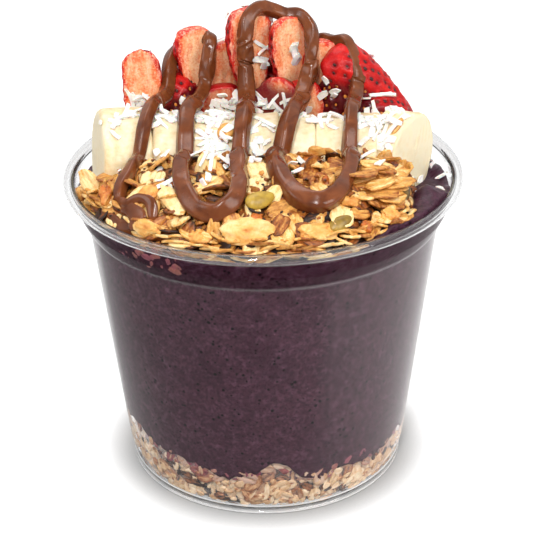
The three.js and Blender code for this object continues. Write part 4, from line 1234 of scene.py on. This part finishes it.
def make_lower_granola():
    sides = 180
    _, ring = circle(sides)
    rim = low_edge(*ring.T)
    rows = []
    for part, height in CORE_ROWS:
        z = 2.0 + (rim - 1.6) * height
        radius = (wall_radius(z) - 1.5) * part
        rows.append(np.column_stack([ring * radius[:, None], z]))
    points = np.concatenate(rows)
    points += unit(points * [1, 1, 0]) * (0.5 * fractal(points, 3, 2, 7))[:, None]
    core = Batch()
    soaked = smoothstep(11, 15, points[:, 2]) * 0.6
    # Painted shade: the core gets the darkest tint, so the gaps between the bits at the wall read as shadow.
    core.add(points, tube(len(rows), sides), tint=1.0, edge=0.8, along=0.0, across=0.0, stained=soaked)
    piece("lower_granola_core", core, [LOW_OAT], ["granola_base"])

    bits = Batch()
    for i in range(BITS):
        azimuth = (i * GOLDEN + math.pi) % (2 * math.pi) - math.pi
        share = (i * 0.7548776662) % 1
        top = float(low_edge(math.cos(azimuth), math.sin(azimuth)))
        z = 3.0 + (top - 2.4) * share + rng.uniform(-0.5, 0.7)
        outward = np.array([math.cos(azimuth), math.sin(azimuth), -0.12])
        if i % 5 < 3:
            length = rng.uniform(4.2, 8.0)
            shape = oat(length, length * rng.uniform(0.45, 0.75), rng.uniform(0.6, 0.9), 12,
                        max(0, rng.normal(0, 0.4)))
            lean = 0.22
        else:
            size = random_size(1.6, 4.4, (0.6, 1), (0.5, 0.8))
            shape, lean = rough_lump(size, 4, 0.25), 0.5
        depth = rng.uniform(0.2, 1.4)
        reach = float(wall_radius(z)) - depth
        at = np.array([reach * math.cos(azimuth), reach * math.sin(azimuth), z])
        points, faces, edge = settle(shape, at, tipped(outward, lean), rng.uniform(0, 6.3))
        points = within_cup(points, -0.16)
        tint = around_mean(0.27, 0.2) if i % 7 else rng.uniform(0.7, 1.0)
        soaked = np.clip(smoothstep(top - 4.5, top + 0.3, z) * rng.uniform(0.1, 1.2), 0, 0.92)
        own = shape[0] + rng.uniform(-80, 80)
        bits.add(points, faces, tint=tint, edge=edge, along=own[:, 0], across=own[:, 1], stained=soaked)
    for i in range(BITS_IN_BAND):
        azimuth = math.radians(rng.uniform(-142, -112))
        z = rng.uniform(83.5, 90.5)
        reach = float(wall_radius(z)) - 0.1
        at = np.array([reach * math.cos(azimuth), reach * math.sin(azimuth), z])
        size = rng.uniform(1.2, 3.6) * np.array([1, rng.uniform(0.5, 1), 0.4])
        outward = (math.cos(azimuth), math.sin(azimuth), -0.3)
        points, faces, edge = settle(rough_lump(size, 4, 0.3), at, outward, rng.uniform(0, 6.3))
        bits.add(within_cup(points, -0.3), faces, tint=0.7, edge=edge, along=0.0, across=0.0,
                 stained=rng.uniform(0.3, 0.8))
    piece("lower_granola_bits", bits, [LOW_OAT])


# ---- Coconut ----
# Where shreds lie: aim (x, z), spread (x, z), how many. They fall along a slanting line
# from the front.
SHREDS = [
    ((-25, 109), (11, 3), 34),
    ((-9, 109), (9, 3), 24),
    ((9, 109), (9, 3), 14),
    ((30, 108), (12, 3), 34),
    ((-43, 106), (5, 6), 8),
    ((-14, 99.5), (4, 5), 36),
    ((-1, 100), (3, 5), 16),
    ((34, 100), (5, 5), 12),
    ((-35, 114), (5, 5), 22),
    ((-24, 113), (6, 4), 26),
    ((-10, 114.5), (5, 4), 18),
    ((-3.5, 118), (3, 5), 24),
    ((7, 115), (7, 4), 18),
    ((33, 112), (8, 2), 16),
    ((-34, 121), (4, 3.5), 6),
    ((0, 134), (2.5, 6), 7),
    ((10.5, 134), (2.5, 3.5), 6),
    ((20, 126), (4, 5), 4),
    ((37, 118), (4, 3), 3),
    ((-10, 91), (26, 7), 20),
    ((15, 91), (22, 7), 14),
]
BEHIND = 60  # shreds on the back of the pile
# Shreds on the bare puree: (x, y).
ON_PUREE = [
    (53, 4), (51, 13), (52.5, -6), (48, -12), (45, -19), (50.5, 20), (47, -15), (-51, 3), (-50.5, 8),
    (44, -23),
]
FALLS_ON = (
    "banana_slice", "strawberry_piece", "oat_flakes", "granola_bed", "nut_pieces", "acai_puree", "hazelnut",
)


def shred():
    """A chip or short strip of coconut, a little curved, twisted and uneven."""
    lengths, widths = ((4.5, 8.0), (0.8, 1.3)) if rng.random() < 0.3 else ((2.0, 4.2), (1.2, 2.2))
    length, width = rng.uniform(*lengths), rng.uniform(*widths)
    thickness = rng.uniform(0.35, 0.6)
    bend, twist = rng.uniform(-0.3, 0.3), rng.uniform(-0.5, 0.5)
    steps = 6
    t = np.linspace(-0.5, 0.5, steps)
    wide = width * (1 - rng.uniform(0.1, 0.8) * np.abs(t + rng.uniform(-0.2, 0.2)) ** 1.5) / 2
    slant = rng.uniform(-0.5, 0.5)
    rows = []
    for k in range(steps):
        a = twist * t[k]
        across = np.array([slant, math.cos(a), math.sin(a)])
        rise = np.array([0, -math.sin(a), math.cos(a)])
        middle = np.array([t[k] * length, bend * length * t[k] ** 2, 0.3 * bend * length * t[k] ** 2])
        corners = [(-1, -1), (1, -1), (1, 1), (-1, 1)]
        rows.append([middle + across * wide[k] * u + rise * thickness / 2 * v for u, v in corners])
    return np.array(rows).reshape(-1, 3), tube(steps, 4)


def scene_tree(names):
    """The surfaces of the named pieces, for finding what a shred falls on."""
    points, faces, total = [], [], 0
    for made in bpy.data.objects:
        if made.type != "MESH" or not made.name.startswith(names):
            continue
        count = len(made.data.vertices)
        co = np.empty(count * 3, np.float32)
        made.data.vertices.foreach_get("co", co)
        points.append(co.reshape(-1, 3))
        faces += [[v + total for v in p.vertices] for p in made.data.polygons]
        total += count
    return BVHTree.FromPolygons(np.concatenate(points).tolist(), faces)


def make_coconut():
    tree = scene_tree(FALLS_ON)
    rope_tree = scene_tree(("hazelnut",))
    batch = Batch()
    slant = math.radians(30)
    along = np.array([0, math.cos(slant), -math.sin(slant)])

    def drop(x, z, direction):
        start = np.array([x, 0, z]) - direction * 150
        hit, normal, _, distance = tree.ray_cast(Vector(start * MM), Vector(direction))
        rope_hit = rope_tree.ray_cast(Vector(start * MM), Vector(direction))
        if hit is None or (rope_hit[0] is not None and rope_hit[3] < distance + 0.0005):
            return
        normal = np.array(normal)
        if abs(normal @ direction) < 0.35:
            return
        normal *= -np.sign(normal @ direction) or 1
        at = np.array(hit) / MM + normal * rng.uniform(0.15, 0.8)
        points, faces = shred()
        basis = on_normal(tipped(normal, 0.3), rng.uniform(0, 6.3))
        batch.add(points @ basis.T + at, faces)

    for (x, z), (wide, tall), count in SHREDS:
        for _ in range(count):
            drop(rng.normal(x, wide * 0.55), rng.normal(z, tall * 0.55), along)
    back = np.array([0, -math.cos(slant), -math.sin(slant)])
    for _ in range(BEHIND):
        drop(rng.uniform(-34, 34), rng.uniform(96, 122), back)
    for x, y in ON_PUREE:
        z = acai_top(x, y) + 0.9
        points, faces = shred()
        batch.add(points @ on_normal(tipped((0, 0, 1), 0.3), rng.uniform(0, 6.3)).T + [x, y, z], faces)
    piece("coconut_shreds", batch, [COCONUT], smooth=False)


# ---- Build ----
make_cup()
make_acai()
make_lower_granola()
make_upper_granola()
make_bananas()
make_berries()
make_drizzle()
make_coconut()


# ---- Studio ----
# Grey of the surround in reflections, from the front to the back.
SURROUND = [(0.0, 0.36), (0.3, 0.42), (0.5, 0.6), (1.0, 0.8)]
FLOOR_REACH = 6.0  # metres to each side
# Lamps: name, place and aim, width and height of the lamp, power, colour. In metres and watts.
LAMPS = [
    ("key", (0.45, -0.45, 0.55), (0, 0, 0.09), (0.45, 0.45), 3.2, (1, 0.985, 0.96)),
    ("fill", (-0.62, -0.22, 0.42), (0, 0, 0.09), (0.4, 0.4), 1.3, (1, 1, 1)),
    ("strip", (-0.06, -0.5, 0.62), (0, 0, 0.1), (0.045, 0.3), 3.0, (1, 1, 1)),
    ("top", (-0.1, 0.3, 0.75), (0, 0, 0.1), (0.5, 0.3), 1.4, (1, 1, 1)),
]


def make_studio():
    """A pale floor, a white surround and soft lamps. Seen directly or through the clear cup
    the surround is white and the floor glows, less where something stands close to it. In
    reflections both are duller, the floor most at the left."""
    floor = Shader("studio_floor", Roughness=0.9, Specular_IOR_Level=0.1, Emission_Color=(1.0, 1.0, 1.0))
    path = floor.node("LightPath").outputs
    seen = floor.math("MAXIMUM", path["Is Camera Ray"], path["Is Transmission Ray"])
    spot = floor.node("SeparateXYZ", {0: floor.place}).outputs
    right = floor.math("ADD", spot["X"], spot["Y"])
    slope = floor.span(right, -120 * MM, 20 * MM, 0.36, 0.7)
    bright = floor.math("ADD", slope, floor.span(right, -40 * MM, -15 * MM, 0, 0.25))
    floor.set(Base_Color=floor.mix(seen, floor.mix(bright, grey(0.0), grey(1.0)), grey(0.3)))
    open_sky = floor.node("AmbientOcclusion", {"Distance": 11 * MM}, samples=8).outputs["AO"]
    glow = floor.math("MULTIPLY", floor.math("POWER", open_sky, 2.2), 0.9)
    floor.set(Emission_Strength=floor.math("MULTIPLY", seen, glow))
    mesh = bpy.data.meshes.new("studio_floor")
    corners = [(-1, -1), (1, -1), (1, 1), (-1, 1)]
    mesh.from_pydata([(FLOOR_REACH * x, FLOOR_REACH * y, 0) for x, y in corners], [], [(0, 1, 2, 3)])
    mesh.materials.append(floor.material)
    ground = link("studio_floor", mesh)

    world = bpy.data.worlds.new("studio")
    sky = Nodes(world, "Generated")
    path = sky.node("LightPath").outputs
    to_back = sky.span(sky.node("SeparateXYZ", {0: sky.place}).outputs["Y"], -1, 1)
    walls = sky.ramp(to_back, *((at, grey(level)) for at, level in SURROUND))
    lit = sky.mix(path["Is Diffuse Ray"], walls, grey(0.55))
    seen = sky.math("MAXIMUM", path["Is Camera Ray"], path["Is Transmission Ray"])
    sky.feed(sky.tree.nodes["Background"].inputs["Color"], sky.mix(seen, lit, grey(1.05)))
    bpy.context.scene.world = world

    for name, at, aim, size, power, colour in LAMPS:
        light = bpy.data.lights.new(name, "AREA")
        light.shape, light.size, light.size_y = "RECTANGLE", *size
        light.energy, light.color = power, colour
        made = link(name, light)
        made.location = at
        made.rotation_euler = (Vector(aim) - Vector(at)).to_track_quat("-Z", "Y").to_euler()


# The camera: where it stands in metres, how far it looks down and how far it is rolled in
# degrees, its focal length in pixels of the square picture, and its sensor in millimetres.
CAMERA_AT = (0.00063, -0.46054, 0.30084)
LOOKS_DOWN, ROLLED = 27.5, -0.79
FOCAL, PICTURE, SENSOR = 1720, 533, 36


def make_camera():
    """The photographer's view."""
    elevation, roll = math.radians(LOOKS_DOWN), math.radians(ROLLED)
    back = Vector((0, -math.cos(elevation), math.sin(elevation)))
    right = Vector((1, 0, 0))
    up = back.cross(right)
    x = math.cos(roll) * right + math.sin(roll) * up
    y = math.cos(roll) * up - math.sin(roll) * right
    camera = bpy.data.cameras.new("camera")
    camera.sensor_width = SENSOR
    camera.lens = FOCAL / PICTURE * SENSOR
    camera.clip_start, camera.clip_end = 0.05, 20
    made = link("camera", camera)
    made.matrix_world = Matrix.Translation(CAMERA_AT) @ Matrix((x, y, back)).transposed().to_4x4()
    bpy.context.scene.camera = made


make_studio()
make_camera()
view = bpy.context.scene.view_settings
view.view_transform = "Standard"
view.look = "None"
